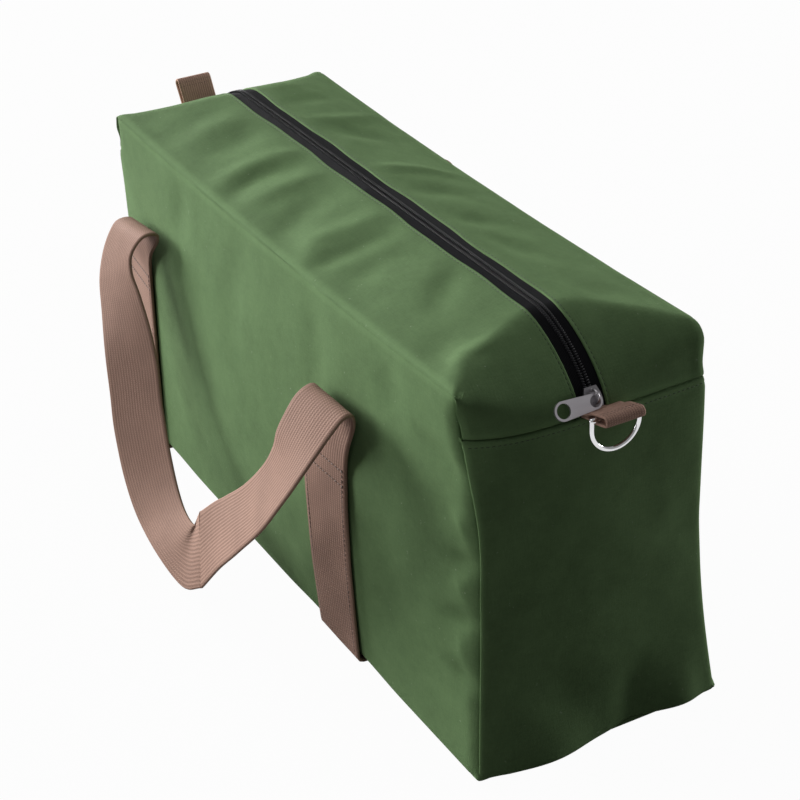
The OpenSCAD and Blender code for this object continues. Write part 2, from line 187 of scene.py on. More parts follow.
def mesh_from(name, points, faces, uv, key, values, sharp):
    """A smooth mesh with uv and one attribute, key, given at its points."""
    mesh = bpy.data.meshes.new(name)
    mesh.from_pydata([tuple(map(float, p)) for p in points], [], faces)
    mesh.polygons.foreach_set("use_smooth", [True] * len(mesh.polygons))
    layer = mesh.uv_layers.new(name="cloth")
    corner = np.zeros(len(mesh.loops), np.int32)
    mesh.loops.foreach_get("vertex_index", corner)
    layer.data.foreach_set("uv", uv.reshape(-1, 2).astype(np.float32)[corner].ravel())
    made = mesh.attributes.new(key, "FLOAT", "POINT")
    made.data.foreach_set("value", values.astype(np.float32).ravel())
    mesh.validate()
    mesh.update()
    mesh.set_sharp_from_angle(angle=math.radians(sharp))
    return mesh


def grid_normals(grid):
    return unit(np.cross(np.gradient(grid, axis=1), np.gradient(grid, axis=0)))


INSIDE = (0, 0, 0.1)  # a point that all cloth faces away from


def cloth_grid(name, outer, uv, wear_and_shade, thickness, material):
    """A closed cloth from its outer grid of points; wear_and_shade is 1 beside a seam and below 0 where
    shade is painted.
    """
    normals = grid_normals(outer)
    facing = np.sum(normals * (outer - INSIDE), axis=-1).mean()
    if facing < 0:
        normals = -normals
    rows, cols = outer.shape[:2]
    count = rows * cols
    inner = outer - normals * thickness
    index = np.arange(count).reshape(rows, cols)
    a, b = index[:-1, :-1].ravel(), index[:-1, 1:].ravel()
    c, d = index[1:, 1:].ravel(), index[1:, :-1].ravel()
    ring = np.concatenate([index[0, :-1], index[:-1, -1], index[-1, :0:-1], index[:0:-1, 0]])
    after = np.roll(ring, -1)
    faces = np.concatenate([
        np.stack([a, b, c, d], 1), np.stack([d, c, b, a], 1) + count,
        np.stack([after, ring, ring + count, after + count], 1)])
    if facing < 0:
        faces = faces[:, ::-1]
    points = np.concatenate([outer.reshape(-1, 3), inner.reshape(-1, 3)])
    mesh = mesh_from(name, points, faces.tolist(), np.concatenate([uv] * 2), "seam",
                     np.concatenate([wear_and_shade] * 2), sharp=50)
    return add_object(name, mesh, [material])


# Seam profiles: distance from the seam line in the cloth's plane, and depth behind it
CORNER_SEAM = [(5.4, 5.2), (4.0, 3.8), (2.9, 2.65), (2.25, 1.95), (2.1, 1.5), (2.35, 1.05), (2.9, 0.65),
               (3.8, 0.34), (5.0, 0.14), (6.6, 0.04), (8.5, 0), (11, 0)]
PANEL_TOP_SEAM = [(5.4, 2.0), (3.6, 1.75), (2.2, 1.45), (1.0, 1.05), (0.35, 0.7), (0.3, 0.35),
                  (0.7, 0.12), (1.8, 0.02), (3.8, 0), (6.0, 0), (8.0, 0), (11, 0)]
STRIP_SEAM = [(2.4, 5.6), (2.2, 4.2), (1.9, 2.8), (1.1, 1.5), (0.4, 0.8), (0.35, 0.4), (0.8, 0.1),
              (1.9, -0.15), (3.6, -0.4), (5.6, -0.42), (8.0, -0.2), (11, 0)]
FLAT_SEAM = [(0.35, 3.2), (0.35, 2.0), (0.5, 1.1), (0.85, 0.45), (1.4, 0.05), (2.2, -0.2), (3.2, -0.25),
             (4.6, -0.12), (6.4, 0), (8.5, 0), (11, 0)]
END_FLAT_SEAM = [(0.35, 3.2), (0.35, 2.2), (0.5, 1.4), (0.9, 0.8), (1.5, 0.4), (2.4, 0.12), (3.4, 0.36),
                 (4.4, 0.12), (5.6, 0), (7.0, 0), (9.0, 0), (11, 0)]
ZIP_EDGE = [(0.35, 1.5), (0.05, 1.05), (0, 0.7), (0.1, 0.35), (0.35, 0.1), (0.8, 0), (1.4, 0.03),
            (2.0, 0.2), (2.6, 0.04), (3.6, 0), (5.2, 0), (7.5, 0), (11, 0)]
BORDER = 11 * MM


def border_steps(low, high, inner_steps):
    """Edge distance, depth and share for each row: share runs from 0 to 1 between the borders."""
    rows = np.array(low + [(BORDER / MM, 0)] * (inner_steps - 1) + high[::-1]) * MM
    share = [0.0] * len(low) + [k / inner_steps for k in range(1, inner_steps)] + [1.0] * len(high)
    return rows[:, 0], rows[:, 1], np.array(share)


def rounded(a, b, radius):
    """Distances from two edges, moved so that the corner between the edges is an arc."""
    p = np.clip(1 - a / radius, 0, 1)
    q = np.clip(1 - b / radius, 0, 1)
    inside = (a < radius) & (b < radius)
    return (np.where(inside, radius * (1 - p * np.sqrt(1 - q * q / 2)), a),
            np.where(inside, radius * (1 - q * np.sqrt(1 - p * p / 2)), b))


DRAW_UNTIL = 0.86  # share of the seam height up to which the upright seams draw in
SWELL, WAIST = 4 * MM, 6 * MM  # half-way up: how far the ends swell and the sides draw in
CORNER_FROM = 0.57  # share of the seam height above which the front right corner draws in
CORNER_DRAW = 12.3 * MM
SHOULDER_LONG, SHOULDER_TALL = 55 * MM, 40 * MM  # size of the shoulder at the zip
PATH_STEPS = 400


class Shape:
    """The bag's surfaces, from the sizes in the scene"""

    def __init__(self):
        s = bpy.context.scene.bag_sizes
        for key in BagSizes.__annotations__:
            setattr(self, key, getattr(s, key))
        self.zip_half = bpy.context.scene.zip_sizes.gap / 2

    def half_x(self, v):
        v = np.clip(v, 0, 1)
        swell = SWELL * np.sin(math.pi * v)
        draw = self.end_draw * np.sin(math.pi * np.minimum(v / DRAW_UNTIL, 1))
        return mix(self.length, self.top_length, v ** 3.5) / 2 + swell - draw

    def corner_draw(self, v):
        """How far the front corner of the right end draws in under the shoulder."""
        k = np.clip((v - CORNER_FROM) / (1 - CORNER_FROM), 0, 1)
        return CORNER_DRAW * np.sin(math.pi * k ** 2.2)

    def half_y(self, v):
        v = np.clip(v, 0, 1)
        return mix(self.depth, self.top_depth, v) / 2 - WAIST * np.sin(math.pi * v)

    def seam_z(self, u):
        return self.seam - self.sag * (1 - u * u)

    def side_y(self, u, v):
        return self.half_y(v) + self.belly * (1 - u * u) * np.sin(math.pi * v)

    def end_x(self, z, w, drawn=0):
        v = np.clip(z / self.seam, 0, 1)
        corner = self.half_x(v) - drawn * self.corner_draw(v) * w ** 4
        return corner + self.end_belly * (1 - w * w) * np.sin(math.pi * v)

    def top_z(self, u, w):
        return mix(self.zip_height, self.seam_z(u), w ** 1.6)

    def top_path(self, w, corner, drawn=0):
        """Points (x, z) from the middle of the top, over the shoulder, down to the end seam."""
        turn = corner * w ** 4 + 0.5 * MM * (1 - w ** 4)
        long, tall = SHOULDER_LONG * (1 - w * w) + turn, SHOULDER_TALL * (1 - w * w) + turn
        power = 2 / mix(1.5, 2.0, w ** 4)
        out = self.end_x(self.top_z(1, w) - tall, w, drawn)
        x = np.linspace(0, out - long, PATH_STEPS)
        flat = np.stack([x, self.top_z(np.clip(x / self.half_x(1), 0, 1), w)], 1)
        a = np.radians(np.linspace(0, 90, PATH_STEPS))[1:]
        curve = np.stack([out - long + long * np.sin(a) ** power,
                          flat[-1, 1] - tall + tall * np.clip(np.cos(a), 0, 1) ** power], 1)
        z = np.linspace(curve[-1, 1], self.drop, PATH_STEPS)[1:]
        return np.concatenate([flat, curve, np.stack([self.end_x(z, w, drawn), z], 1)])

    def zip_line(self, y, drop):
        """Points on the zip's own line at the depth y, lowered by drop along its normal."""
        path = self.top_path(0.0, 0.0)
        ahead = unit(np.gradient(path, axis=0))
        normal = np.stack([-ahead[:, 1], ahead[:, 0]], 1)
        low = path - normal * drop
        return np.stack([low[:, 0], np.full(len(low), y), low[:, 1]], 1)


def distances_along(path):
    """Distance of each point from the path's start."""
    return np.cumsum(np.concatenate([[0], np.linalg.norm(np.diff(path, axis=0), axis=1)]))


def spread(path, distances):
    """Points of a path at the distances from its start."""
    run = distances_along(path)
    return np.stack([np.interp(distances, run, path[:, k]) for k in range(path.shape[1])], -1)


# Folds of the canvas, in millimetres: line, width, height and lean

TOP_FRONT_FOLDS = [
    ([(-147, 14), (-151, 28), (-154, 42), (-150, 60)], 13, 1.7, 0),
    ([(-117, 22), (-121, 40), (-117, 60)], 14, -1.7, 0.5),
    ([(-76, 14), (-84, 32), (-88, 50), (-89, 68)], 10, 1.9, 0.5),
    ([(-62, 30), (-68, 48), (-64, 73)], 9, -1.6, 0.5),
    ([(-40, 16), (-42, 35), (-45, 55), (-45, 68)], 10, 1.7, 0),
    ([(-9, 20), (-10, 34), (12, 75)], 13, -1.8, 0.7),
    ([(36, 16), (32, 38), (27, 54), (38, 68)], 10, 1.9, 0.4),
    ([(58, 26), (54, 50), (50, 74)], 9, -1.7, -0.7),
    ([(92, 23), (84, 42), (89, 65)], 12, -1.4, 0),
    ([(122, 12), (136, 26), (152, 42)], 10, -1.8, 0.5),
    ([(203, 34), (204, 54), (219, 72)], 7, 0.6, -1.7),
    ([(172, 50), (196, 70)], 12, -1.0, 0),
]
TOP_BACK_FOLDS = [
    ([(-184, 16), (-188, 30), (-196, 44)], 9, 1.4, 0),
    ([(-151, 14), (-156, 28), (-166, 54)], 10, -1.7, 0.4),
    ([(-122, 18), (-118, 38), (-130, 68)], 8, 1.7, 0),
    ([(-99, 18), (-92, 30), (-79, 52)], 11, -1.7, 0.5),
    ([(-28, 14), (-24, 26), (-19, 45), (-14, 66)], 7, 1.8, 0),
    ([(8, 18), (20, 30), (30, 54)], 12, -1.8, 0.5),
    ([(62, 24), (78, 42)], 11, -1.5, 0),
    ([(90, 24), (128, 34)], 9, -1.8, 0.5),
    ([(176, 30), (196, 60)], 12, -1.2, 0.5),
]
FRONT_FOLDS = [
    ([(242, 186), (214, 196), (190, 200)], 7, -2.2, 0.7),
    ([(244, 142), (216, 136)], 6, -2.6, 0.8),
    ([(244, 104), (212, 96)], 6, -2.6, 0.8),
    ([(245, 62), (220, 66)], 6, -2.2, 0.6),
    ([(234, 165), (226, 160)], 7, 1.8, 0),
    ([(234, 124), (226, 118)], 7, 1.8, 0),
    ([(236, 82), (226, 80)], 7, 1.5, 0),
    ([(60, 228), (72, 200), (66, 170)], 16, -1.6, 0.6),
    ([(-120, 230), (-132, 196)], 14, -1.4, 0.5),
    ([(-30, 226), (-44, 190), (-40, 150)], 18, -1.4, 0.5),
    ([(150, 226), (164, 200)], 14, -1.4, 0.4),
    ([(190, 60), (160, 90), (150, 130)], 18, -1.4, 0.4),
]
END_FOLDS = [
    ([(-70, 186), (-30, 176), (10, 178)], 12, -1.2, 0.4),
    ([(-76, 120), (-40, 110)], 12, -1.2, 0.4),
    ([(74, 130), (40, 118)], 14, -1.0, 0.4),
    ([(-40, 40), (-8, 24)], 14, -1.2, 0.6),
    ([(20, 0), (24, 36)], 10, -2.4, 0.6),
]


# Shader maths

class Wire:
    """An output socket that takes part in Python arithmetic"""

    def __init__(self, nodes, socket):
        self.nodes, self.socket = nodes, socket

    def maths(self, operation, *values, clamp=False):
        settings = {"operation": operation, "use_clamp": clamp}
        return self.nodes.node("ShaderNodeMath", settings, dict(enumerate(values)))

    def __add__(self, other):
        return self.maths("ADD", self, other)

    def __sub__(self, other):
        return self.maths("SUBTRACT", self, other)

    def __rsub__(self, other):
        return self.maths("SUBTRACT", other, self)

    def __mul__(self, other):
        return self.maths("MULTIPLY", self, other)

    def __truediv__(self, other):
        return self.maths("DIVIDE", self, other)

    def __rtruediv__(self, other):
        return self.maths("DIVIDE", other, self)

    __radd__, __rmul__ = __add__, __mul__

    def sine(self):
        return self.maths("SINE", self)

    def waves(self, pitch):
        """Even waves from 0 to 1."""
        return (self * (2 * math.pi / pitch)).sine() * 0.5 + 0.5

    def clamped(self):
        return self.maths("ADD", self, 0.0, clamp=True)

    def above(self, edge, soft):
        """1 where the value is above edge, 0 below, with a soft step between."""
        return ((self - (edge - soft / 2)) / soft).clamped()


class Nodes:
    """The emptied node tree of a material or world, and the one method that adds nodes to it"""

    def __init__(self, holder):
        holder.use_nodes = True
        self.tree = holder.node_tree
        self.tree.nodes.clear()

    def node(self, kind, settings=None, values=None, output=0):
        """A node of this kind, with its settings first and then the values or links of its sockets."""
        made = self.tree.nodes.new(kind)
        for key, value in (settings or {}).items():
            setattr(made, key, value)
        for key, value in (values or {}).items():
            self.plug(made.inputs[key], value)
        return Wire(self, made.outputs[output]) if made.outputs else None

    def plug(self, socket, value):
        if isinstance(value, Wire):
            self.tree.links.new(value.socket, socket)
        elif hasattr(value, "__len__") and socket.type == "RGBA" and len(value) == 3:
            socket.default_value = (*value, 1)
        else:
            socket.default_value = value


class Look(Nodes):
    """A material under construction, with the shader that every finish plugs into"""

    def __init__(self, name, **constants):
        self.material = bpy.data.materials.new(name)
        super().__init__(self.material)
        shader = self.node("ShaderNodeBsdfPrincipled")
        self.node("ShaderNodeOutputMaterial", values={"Surface": shader})
        self.shader = shader.socket.node
        for key, value in constants.items():
            self.shader.inputs[key.replace("_", " ")].default_value = value

    def place(self):
        return self.node("ShaderNodeTexCoord", output="Object")

    def cloth_uv(self):
        return self.node("ShaderNodeUVMap", {"uv_map": "cloth"})

    def parts(self, vector):
        first = self.node("ShaderNodeSeparateXYZ", values={0: vector})
        return [Wire(self, s) for s in first.socket.node.outputs]

    def noise(self, vector, scale, detail=3.0, roughness=0.55):
        return self.node("ShaderNodeTexNoise", values={
            "Vector": vector, "Scale": scale, "Detail": detail, "Roughness": roughness})

    def attribute(self, name):
        return self.node("ShaderNodeAttribute", {"attribute_name": name}, output="Fac")

    def blend(self, factor, a, b):
        """Colour a, or b where the factor is 1."""
        return self.node("ShaderNodeMix", {"data_type": "RGBA"}, {0: factor, 6: a, 7: b}, output=2)

    def bump(self, height, distance, strength):
        return self.node("ShaderNodeBump", values={
            "Height": height, "Distance": distance, "Strength": strength})

    def finish(self, **inputs):
        for key, value in inputs.items():
            self.plug(self.shader.inputs[key.replace("_", " ")], value)
        return self.material


def tint(colour, factor):
    return tuple(min(1.0, c * factor) for c in colour)


THREAD_PITCH = 0.62 * MM
SLUB_SCALES = 900, 140  # per metre across a thick thread and along it
LINT = (0.30, 0.36, 0.26)


def canvas_look():
    colour = bpy.context.scene.bag_colours.canvas
    look = Look("sewn_canvas", Sheen_Weight=0.015, Sheen_Roughness=0.5, Specular_IOR_Level=0.03)
    look.shader.inputs["Sheen Tint"].default_value = (0.7, 0.95, 0.5, 1)
    across, along, _ = look.parts(look.cloth_uv())
    place = look.place()
    threads = 2 * math.pi / THREAD_PITCH
    weave = (across * threads).sine() * (along * threads).sine() * 0.5 + 0.5
    slub, slub_weft = [
        look.noise(look.node("ShaderNodeCombineXYZ", values={0: across * a, 1: along * b}), 1.0, 2.0)
        for a, b in (SLUB_SCALES, SLUB_SCALES[::-1])]
    mottle = look.noise(place, 22.0, 4.0, 0.6)
    grain = look.noise(place, 900.0, 2.0, 0.7)
    seam = look.attribute("seam")
    patches = look.noise(place, 85.0, 3.0, 0.6)
    tone = mottle * 0.7 + patches * 0.5 + slub * 0.35 + slub_weft * 0.35 + grain * 0.4 - 0.65
    base = look.blend(tone.clamped(), tint(colour, 0.72), tint(colour, 1.30))
    threads_shown = look.blend((weave * 0.35).clamped(), base, tint(colour, 0.62))
    lint_mask = look.noise(place, 420.0, 1.0, 0.5).above(0.78, 0.03)
    linted = look.blend(lint_mask * 0.35, threads_shown, LINT)
    worn = look.blend((seam * 0.22).clamped(), linted, tint(colour, 1.7))
    # painted shade: where the seam attribute is below 0, a dark line in the gully beside the long
    # panels' upright seams
    shaded = look.blend((seam * -0.75).clamped(), worn, tint(colour, 0.25))
    height = weave * 0.6 + slub * 0.5 + slub_weft * 0.5 + grain * 0.4
    return look.finish(Base_Color=shaded, Roughness=0.86 - grain * 0.06,
                       Normal=look.bump(height, 0.22 * MM, 0.75))


def grained_look(name, colour, sheen, scale, tints, roughness, relief):
    """Thread or nylon with a fine grain; tints are its darkest and palest."""
    look = Look(name, Specular_IOR_Level=0.3, Sheen_Weight=sheen)
    grain = look.noise(look.place(), scale, 2.0)
    return look.finish(Base_Color=look.blend(grain, *[tint(colour, k) for k in tints]),
                       Roughness=roughness[0] + grain * roughness[1], Normal=look.bump(grain, *relief))


def webbing_look(name, rib_pitch, pick_pitch, relief, painted_light_gain):
    """Twill webbing with ribs along it; relief is the height of the ribs, and painted_light_gain scales
    its colour up as painted light.
    """
    colour = tint(bpy.context.scene.bag_colours.webbing, painted_light_gain)
    look = Look(name, Sheen_Weight=0.01, Sheen_Roughness=0.4, Specular_IOR_Level=0.03)
    look.shader.inputs["Sheen Tint"].default_value = (1.0, 0.8, 0.7, 1)
    across, along, _ = look.parts(look.cloth_uv())
    place = look.place()
    rib = across.waves(rib_pitch)
    twill = (across * 0.8 + along).waves(pick_pitch)
    cross = (along - across * 0.8).waves(pick_pitch)
    pick = look.blend(rib.above(0.5, 0.3), twill, cross)
    picks = look.parts(pick)[0]
    fuzz = look.noise(place, 1300.0, 2.0, 0.7)
    mottle = look.noise(place, 30.0, 3.0)
    edge = look.attribute("edge")
    tone = rib * 0.30 + picks * 0.50 + fuzz * 0.30 + mottle * 0.35 - 0.28
    base = look.blend(tone.clamped(), tint(colour, 0.50), tint(colour, 1.45))
    selvedge = look.blend((edge * 0.4).clamped(), base, tint(colour, 1.35))
    height = rib * 0.9 + picks * 0.55 + fuzz * 0.3
    return look.finish(Base_Color=selvedge, Roughness=0.74 - picks * 0.08,
                       Normal=look.bump(height, relief, 0.7))


def tape_look():
    colour = bpy.context.scene.bag_colours.tape
    look = Look("tape_weave", Specular_IOR_Level=0.06)
    across, along, _ = look.parts(look.cloth_uv())
    rib = across.waves(0.9 * MM)
    chevron = (along + across * 0.7).waves(0.8 * MM)
    dust = look.noise(look.place(), 500.0, 3.0, 0.7)
    tone = rib * 0.4 + chevron * 0.3 + dust * 0.4
    base = look.blend((tone - 0.2).clamped(), tint(colour, 0.6), tint(colour, 2.4))
    return look.finish(Base_Color=base, Roughness=0.8 - rib * 0.1,
                       Normal=look.bump(rib + chevron, 0.15 * MM, 0.7))


def metal_look(name, colour, roughness, brushing_and_highlight):
    look = Look(name, Metallic=1.0)
    place = look.place()
    stretched = look.node("ShaderNodeMapping", values={"Vector": place, "Scale": (1600, 260, 1600)})
    scratch = look.noise(stretched, 1.0, 3.0, 0.6)
    cloud = look.noise(place, 160.0, 3.0, 0.6)
    # painted highlight: edges sharp enough by pointiness get a colour up to 4.5 times paler, scaled by
    # brushing_and_highlight, which also scales the brushed scratches
    edge = look.node("ShaderNodeNewGeometry", output="Pointiness").above(0.53, 0.06)
    base = look.blend(cloud, tint(colour, 0.85), tint(colour, 1.12))
    with_painted_highlight = look.blend(edge * 0.8 * brushing_and_highlight, base, tint(colour, 4.5))
    return look.finish(Base_Color=with_painted_highlight,
                       Roughness=cloud * 0.12 + scratch * 0.10 * brushing_and_highlight + roughness,
                       Normal=look.bump(scratch, 0.02 * MM, 0.25 * brushing_and_highlight))


def looks():
    """The materials, made once"""
    made = bpy.data.materials
    if "sewn_canvas" in made:
        return {m.name: m for m in made}
    c = bpy.context.scene.bag_colours
    canvas_look()
    webbing_look("handle_webbing", 2.6 * MM, 1.3 * MM, 0.20 * MM, 1.0)
    # painted light: the loops are the handles' webbing made 1.45 times paler, standing in for the light
    # they get
    webbing_look("loop_webbing", 1.6 * MM, 1.0 * MM, 0.12 * MM, 1.45)
    tape_look()
    grained_look("coil_nylon", c.coil, 0.0, 700.0, (0.6, 1.8), (0.4, 0.2), (0.03 * MM, 0.4))
    for name, colour in (("canvas_thread", tint(c.canvas, 0.28)),
                         ("webbing_thread", tint(c.webbing, 0.50))):
        grained_look(name, colour, 0.2, 1800.0, (0.7, 1.3), (0.7, 0.1), (0.1 * MM, 0.6))
    metal_look("gunmetal_plating", c.gunmetal, 0.26, 1.0)
    # painted shade: the slider body is the tab's gunmetal at 0.4 of its brightness
    metal_look("slider_plating", tint(c.gunmetal, 0.4), 0.22, 1.0)
    metal_look("chrome_plating", c.chrome, 0.05, 0.0)
    return {m.name: m for m in made}


# Canvas panels

WEAR_AT, WEAR_WIDTH = 2.6 * MM, 1.6 * MM  # the rolled edge: distance from the seam and half width
AT_BELTS, BETWEEN_BELTS = 2.7 * MM, 1.0 * MM  # height of the bottom and of the long panels' edges


def seam_wear(*edges):
    """1 along the rolled edge beside a seam, 0 far from it; takes the distances from the edges."""
    near = np.minimum.reduce(np.broadcast_arrays(*edges))
    return np.exp(-((near - WEAR_AT) / WEAR_WIDTH) ** 2)


def step_up(value, start, run):
    """0 up to start and 1 beyond start + run, in millimetres, with a soft step between."""
    return ease((value - start * MM) / (run * MM))


def from_belt(x):
    """Distance from the middle of the nearer belt."""
    return np.minimum.reduce([np.abs(x - at) for at in BELT_AT.values()])


def low_edge(x):
    """Height of the canvas above the floor: it sags between and beside the two belts."""
    return mix(AT_BELTS, BETWEEN_BELTS, step_up(from_belt(x), 30, 50))


def calm_under_belts(x, z):
    """Cloth under a sewn belt lies smooth."""
    return 1 - (1 - step_up(from_belt(x), 27, 16)) * (1 - step_up(z, 148, 20))


def ripples(points, seed, table):
    """Smooth uneven ripples; the table holds size in metres, height in millimetres and more seed."""
    return sum(wobble(points, size, seed + more) * height for size, height, more in table) * MM


# Steps of the panel grids between their borders, along and up
PANEL_STEPS, END_STEPS, BOTTOM_STEPS = (150, 72), (46, 64), (90, 30)
STRIP_STEPS, STRIP_RUN = 26, 96  # across a top strip, and along it
GULLY_DEPTH, GULLY_WIDTH = 2.6 * MM, 6.5 * MM  # where a long panel draws in at its upright seams
VALLEY_WIDTH = 2.6 * MM  # of the painted shade line in that gully


def long_panel(shape, side, table, corner, seed):
    """The front (side -1) or back (side 1) panel."""
    edge_c, depth_c, share_c = border_steps(CORNER_SEAM, CORNER_SEAM, PANEL_STEPS[0])
    edge_r, depth_r, share_r = border_steps(CORNER_SEAM, PANEL_TOP_SEAM, PANEL_STEPS[1])
    top_row = share_r == 1
    u = 2 * share_c - 1
    from_side, from_top = rounded(*np.broadcast_arrays(edge_c, np.where(top_row, edge_r, 1)[:, None]),
                                  corner)
    seam_here = shape.seam_z(u)
    low = low_edge(u * shape.length / 2) + np.where(top_row, BORDER, edge_r)[:, None]
    high = seam_here - np.where(top_row[:, None], from_top, BORDER)
    z = mix(low, high, share_r[:, None])
    v = z / seam_here
    reach = shape.half_x(v) - (shape.corner_draw(v) * (u > 0) if side < 0 else 0)
    x = u * (reach - from_side)
    uu = np.clip(np.abs(x) / reach, 0, 1)
    y = shape.side_y(uu, v)
    below_seam = seam_here - z
    gully = GULLY_DEPTH * np.exp(-(from_side / GULLY_WIDTH) ** 2) * step_up(below_seam, 0, 20)
    depth = depth_c + depth_r[:, None] + gully
    calm = calm_under_belts(x, z)
    spot = np.stack([x, y * side, z], -1)
    inward = np.minimum(step_up(from_side, 0, 25), step_up(below_seam, 0, 16)) * step_up(z, 0, 20)
    height = folds(x, z, table) * calm
    height += calm * inward * ripples(spot, seed, ((0.075, 1.6, 0), (0.03, 0.45, 9)))
    points = np.stack([x, (y - depth + height) * side, z], -1)
    painted_valley_shade = np.exp(-(from_side / VALLEY_WIDTH) ** 4) * step_up(below_seam, 4, 10)
    wear_and_shade = seam_wear(np.abs(below_seam)) * (1 - painted_valley_shade) - painted_valley_shade  # below 0 it paints shade into the gully beside the upright seam
    return points, np.stack([x, z], -1), wear_and_shade


END_FLOOR = 1.2 * MM  # height of an end panel's lower edge
FLOOR_FADE = 26 * MM  # height at which the lobes above the floor have faded
END_LOBES = ((-36, 46, 8.5), (56, 24, 4.0))  # bulges above the floor: place, width, height
LEFT_LOBES = 0.7  # share of them at the left end
FLOOR_LIFT = (22, 16, 2.5)  # where the lower edge is lifted: place, width, height


def end_panel(shape, side, table, seed):
    """The right (side 1) or left (side -1) end panel."""
    edge_c, depth_c, share_c = border_steps(CORNER_SEAM, CORNER_SEAM, END_STEPS[0])
    edge_r, depth_r, share_r = border_steps(CORNER_SEAM, END_FLAT_SEAM, END_STEPS[1])
    w = 2 * share_c - 1
    low = END_FLOOR + np.where(share_r < 1, edge_r, BORDER)
    high = shape.drop - np.where(share_r == 1, edge_r, BORDER)
    z = mix(low, high, share_r)[:, None] + 0 * w
    v = z / shape.seam
    y = w * (shape.half_y(v) - edge_c)
    ww = np.clip(np.abs(y) / shape.half_y(v), 0, 1)
    x = shape.end_x(z, ww, (y < 0) * 1.0 if side > 0 else 0)
    near_floor = np.exp(-(z / FLOOR_FADE) ** 2)
    lobes = sum(high * bump((y - at * MM) / (wide * MM)) for at, wide, high in END_LOBES)
    inside = step_up(shape.half_y(v) - np.abs(y), 0, 22)
    x = x + lobes * MM * near_floor * inside * (1 if side > 0 else LEFT_LOBES)
    at, wide, lift = FLOOR_LIFT
    z = z + lift * MM * bump((y - at * MM) / (wide * MM)) * np.exp(-(z / (10 * MM)) ** 2)
    spot = np.stack([x * side, y, z], -1)
    calm = inside * step_up(shape.drop - z, 0, 20)
    height = folds(y, z, table)
    height += calm * ripples(spot, seed, ((0.06, 1.7, 0), (0.025, 0.5, 5)))
    x = x - depth_c - depth_r[:, None] + height
    points = np.stack([x * side, y, z], -1)
    return points, np.stack([y, z], -1), seam_wear(edge_c, shape.drop - z)


def bottom_panel(shape):
    """The bottom, which sags between the belts."""
    edge_c, depth_c, share_c = border_steps(CORNER_SEAM, CORNER_SEAM, BOTTOM_STEPS[0])
    edge_r, depth_r, share_r = border_steps(CORNER_SEAM, CORNER_SEAM, BOTTOM_STEPS[1])
    x, y = np.meshgrid((2 * share_c - 1) * (shape.length / 2 - edge_c),
                       (2 * share_r - 1) * (shape.depth / 2 - edge_r))
    z = low_edge(x) + depth_c + depth_r[:, None]
    return np.stack([x, y, z], -1), np.stack([x, y], -1), seam_wear(edge_c, edge_r[:, None])


def even_normals(grid):
    """Outward normals of a grid whose last columns lie too close together to give their own."""
    normals = grid_normals(grid)
    if normals[len(grid) // 2, 0, 2] < 0:
        normals = -normals
    normals[:, STRIP_RUN + 6:] = normals[:, STRIP_RUN + 4:STRIP_RUN + 5]
    return normals


ZIP_EDGE_WAVES = ((19, 1, 0.6), (8.3, 2, 0.3))  # length of a radian, share of the seed, height
CLOSEST_ROW = 0.3 * MM  # to the end seam, for rows that lie on it
CORNER_TUCK = 2.6  # how far a strip tucks in under its top corner, in millimetres


def top_strip(shape, side, end, table, corner, seed):
    """Half of a long top strip, from the middle over the shoulder to the end seam."""
    edge_r, depth_r, share_r = border_steps(STRIP_SEAM, ZIP_EDGE, STRIP_STEPS)
    full = shape.half_y(1)
    w_low, w_high = 1 - BORDER / full, (shape.zip_half + BORDER) / full
    w = np.where(share_r == 0, 1 - edge_r / full,
                 np.where(share_r == 1, (shape.zip_half + edge_r) / full, mix(w_low, w_high, share_r)))
    back, end_depth = np.array(FLAT_SEAM[::-1]).T * MM

    def rows_at(shares):
        rows = []
        for k in shares:
            path = shape.top_path(k, corner, drawn=int(side < 0 < end))
            total = distances_along(path)[-1]
            where = np.concatenate([np.linspace(0, total - BORDER, STRIP_RUN, endpoint=False),
                                    total - np.maximum(back, CLOSEST_ROW)])
            flat = spread(path, where)
            y = k * shape.half_y(np.clip(flat[:, 1] / shape.seam, 0, 1))
            rows.append(np.stack([flat[:, 0], y, flat[:, 1]], -1))
        return np.array(rows)

    grid = rows_at(w)
    even = np.linspace(0.05, 1, 40)
    steady = even_normals(rows_at(even))
    normals = unit(np.stack([[np.interp(w, even, steady[:, c, k]) for k in range(3)]
                             for c in range(grid.shape[1])], 0).transpose(2, 0, 1))
    from_end = np.concatenate([np.full(STRIP_RUN, 1.0), back])
    depth = depth_r[:, None] + np.concatenate([np.zeros(STRIP_RUN), end_depth])
    run = distances_along(grid[len(w) // 2])
    signed = grid.copy()
    signed[..., 0] *= end
    signed[..., 1] *= side
    from_zip, above_drop = w * full - shape.zip_half, grid[..., 2] - shape.drop
    off_edge = np.minimum(step_up((1 - w) * full, 0, 16), step_up(from_zip, 0, 14))
    calm = off_edge[:, None] * step_up(above_drop, 0, 14)
    height = folds(signed[..., 0], np.abs(signed[..., 1]), table) * calm ** 0.5
    height = height * step_up(above_drop, 4, 14)
    height += calm * ripples(signed, seed, ((0.06, 1.5, 0), (0.024, 0.5, 7)))
    below = step_up(shape.seam - grid[..., 2], 8, 14) * (w ** 6)[:, None]
    near_zip = (1 - step_up(from_zip, 0, 24))[:, None] * (1 - step_up(grid[..., 0], 170, 30))
    wave = sum(np.sin(signed[..., 0] / (length * MM) + turns * seed) * high
               for length, turns, high in ZIP_EDGE_WAVES)
    grid = grid + normals * (height - depth)[..., None]
    grid[..., 1] += (near_zip * wave - below * CORNER_TUCK) * MM
    grid[..., 0] *= end
    grid[..., 1] *= side
    uv = np.stack(np.broadcast_arrays(run * end, (w * full * side)[:, None]), -1)
    wear_and_shade = seam_wear(((1 - w) * full)[:, None], (from_zip + 2 * MM)[:, None], from_end)
    return grid, uv, wear_and_shade


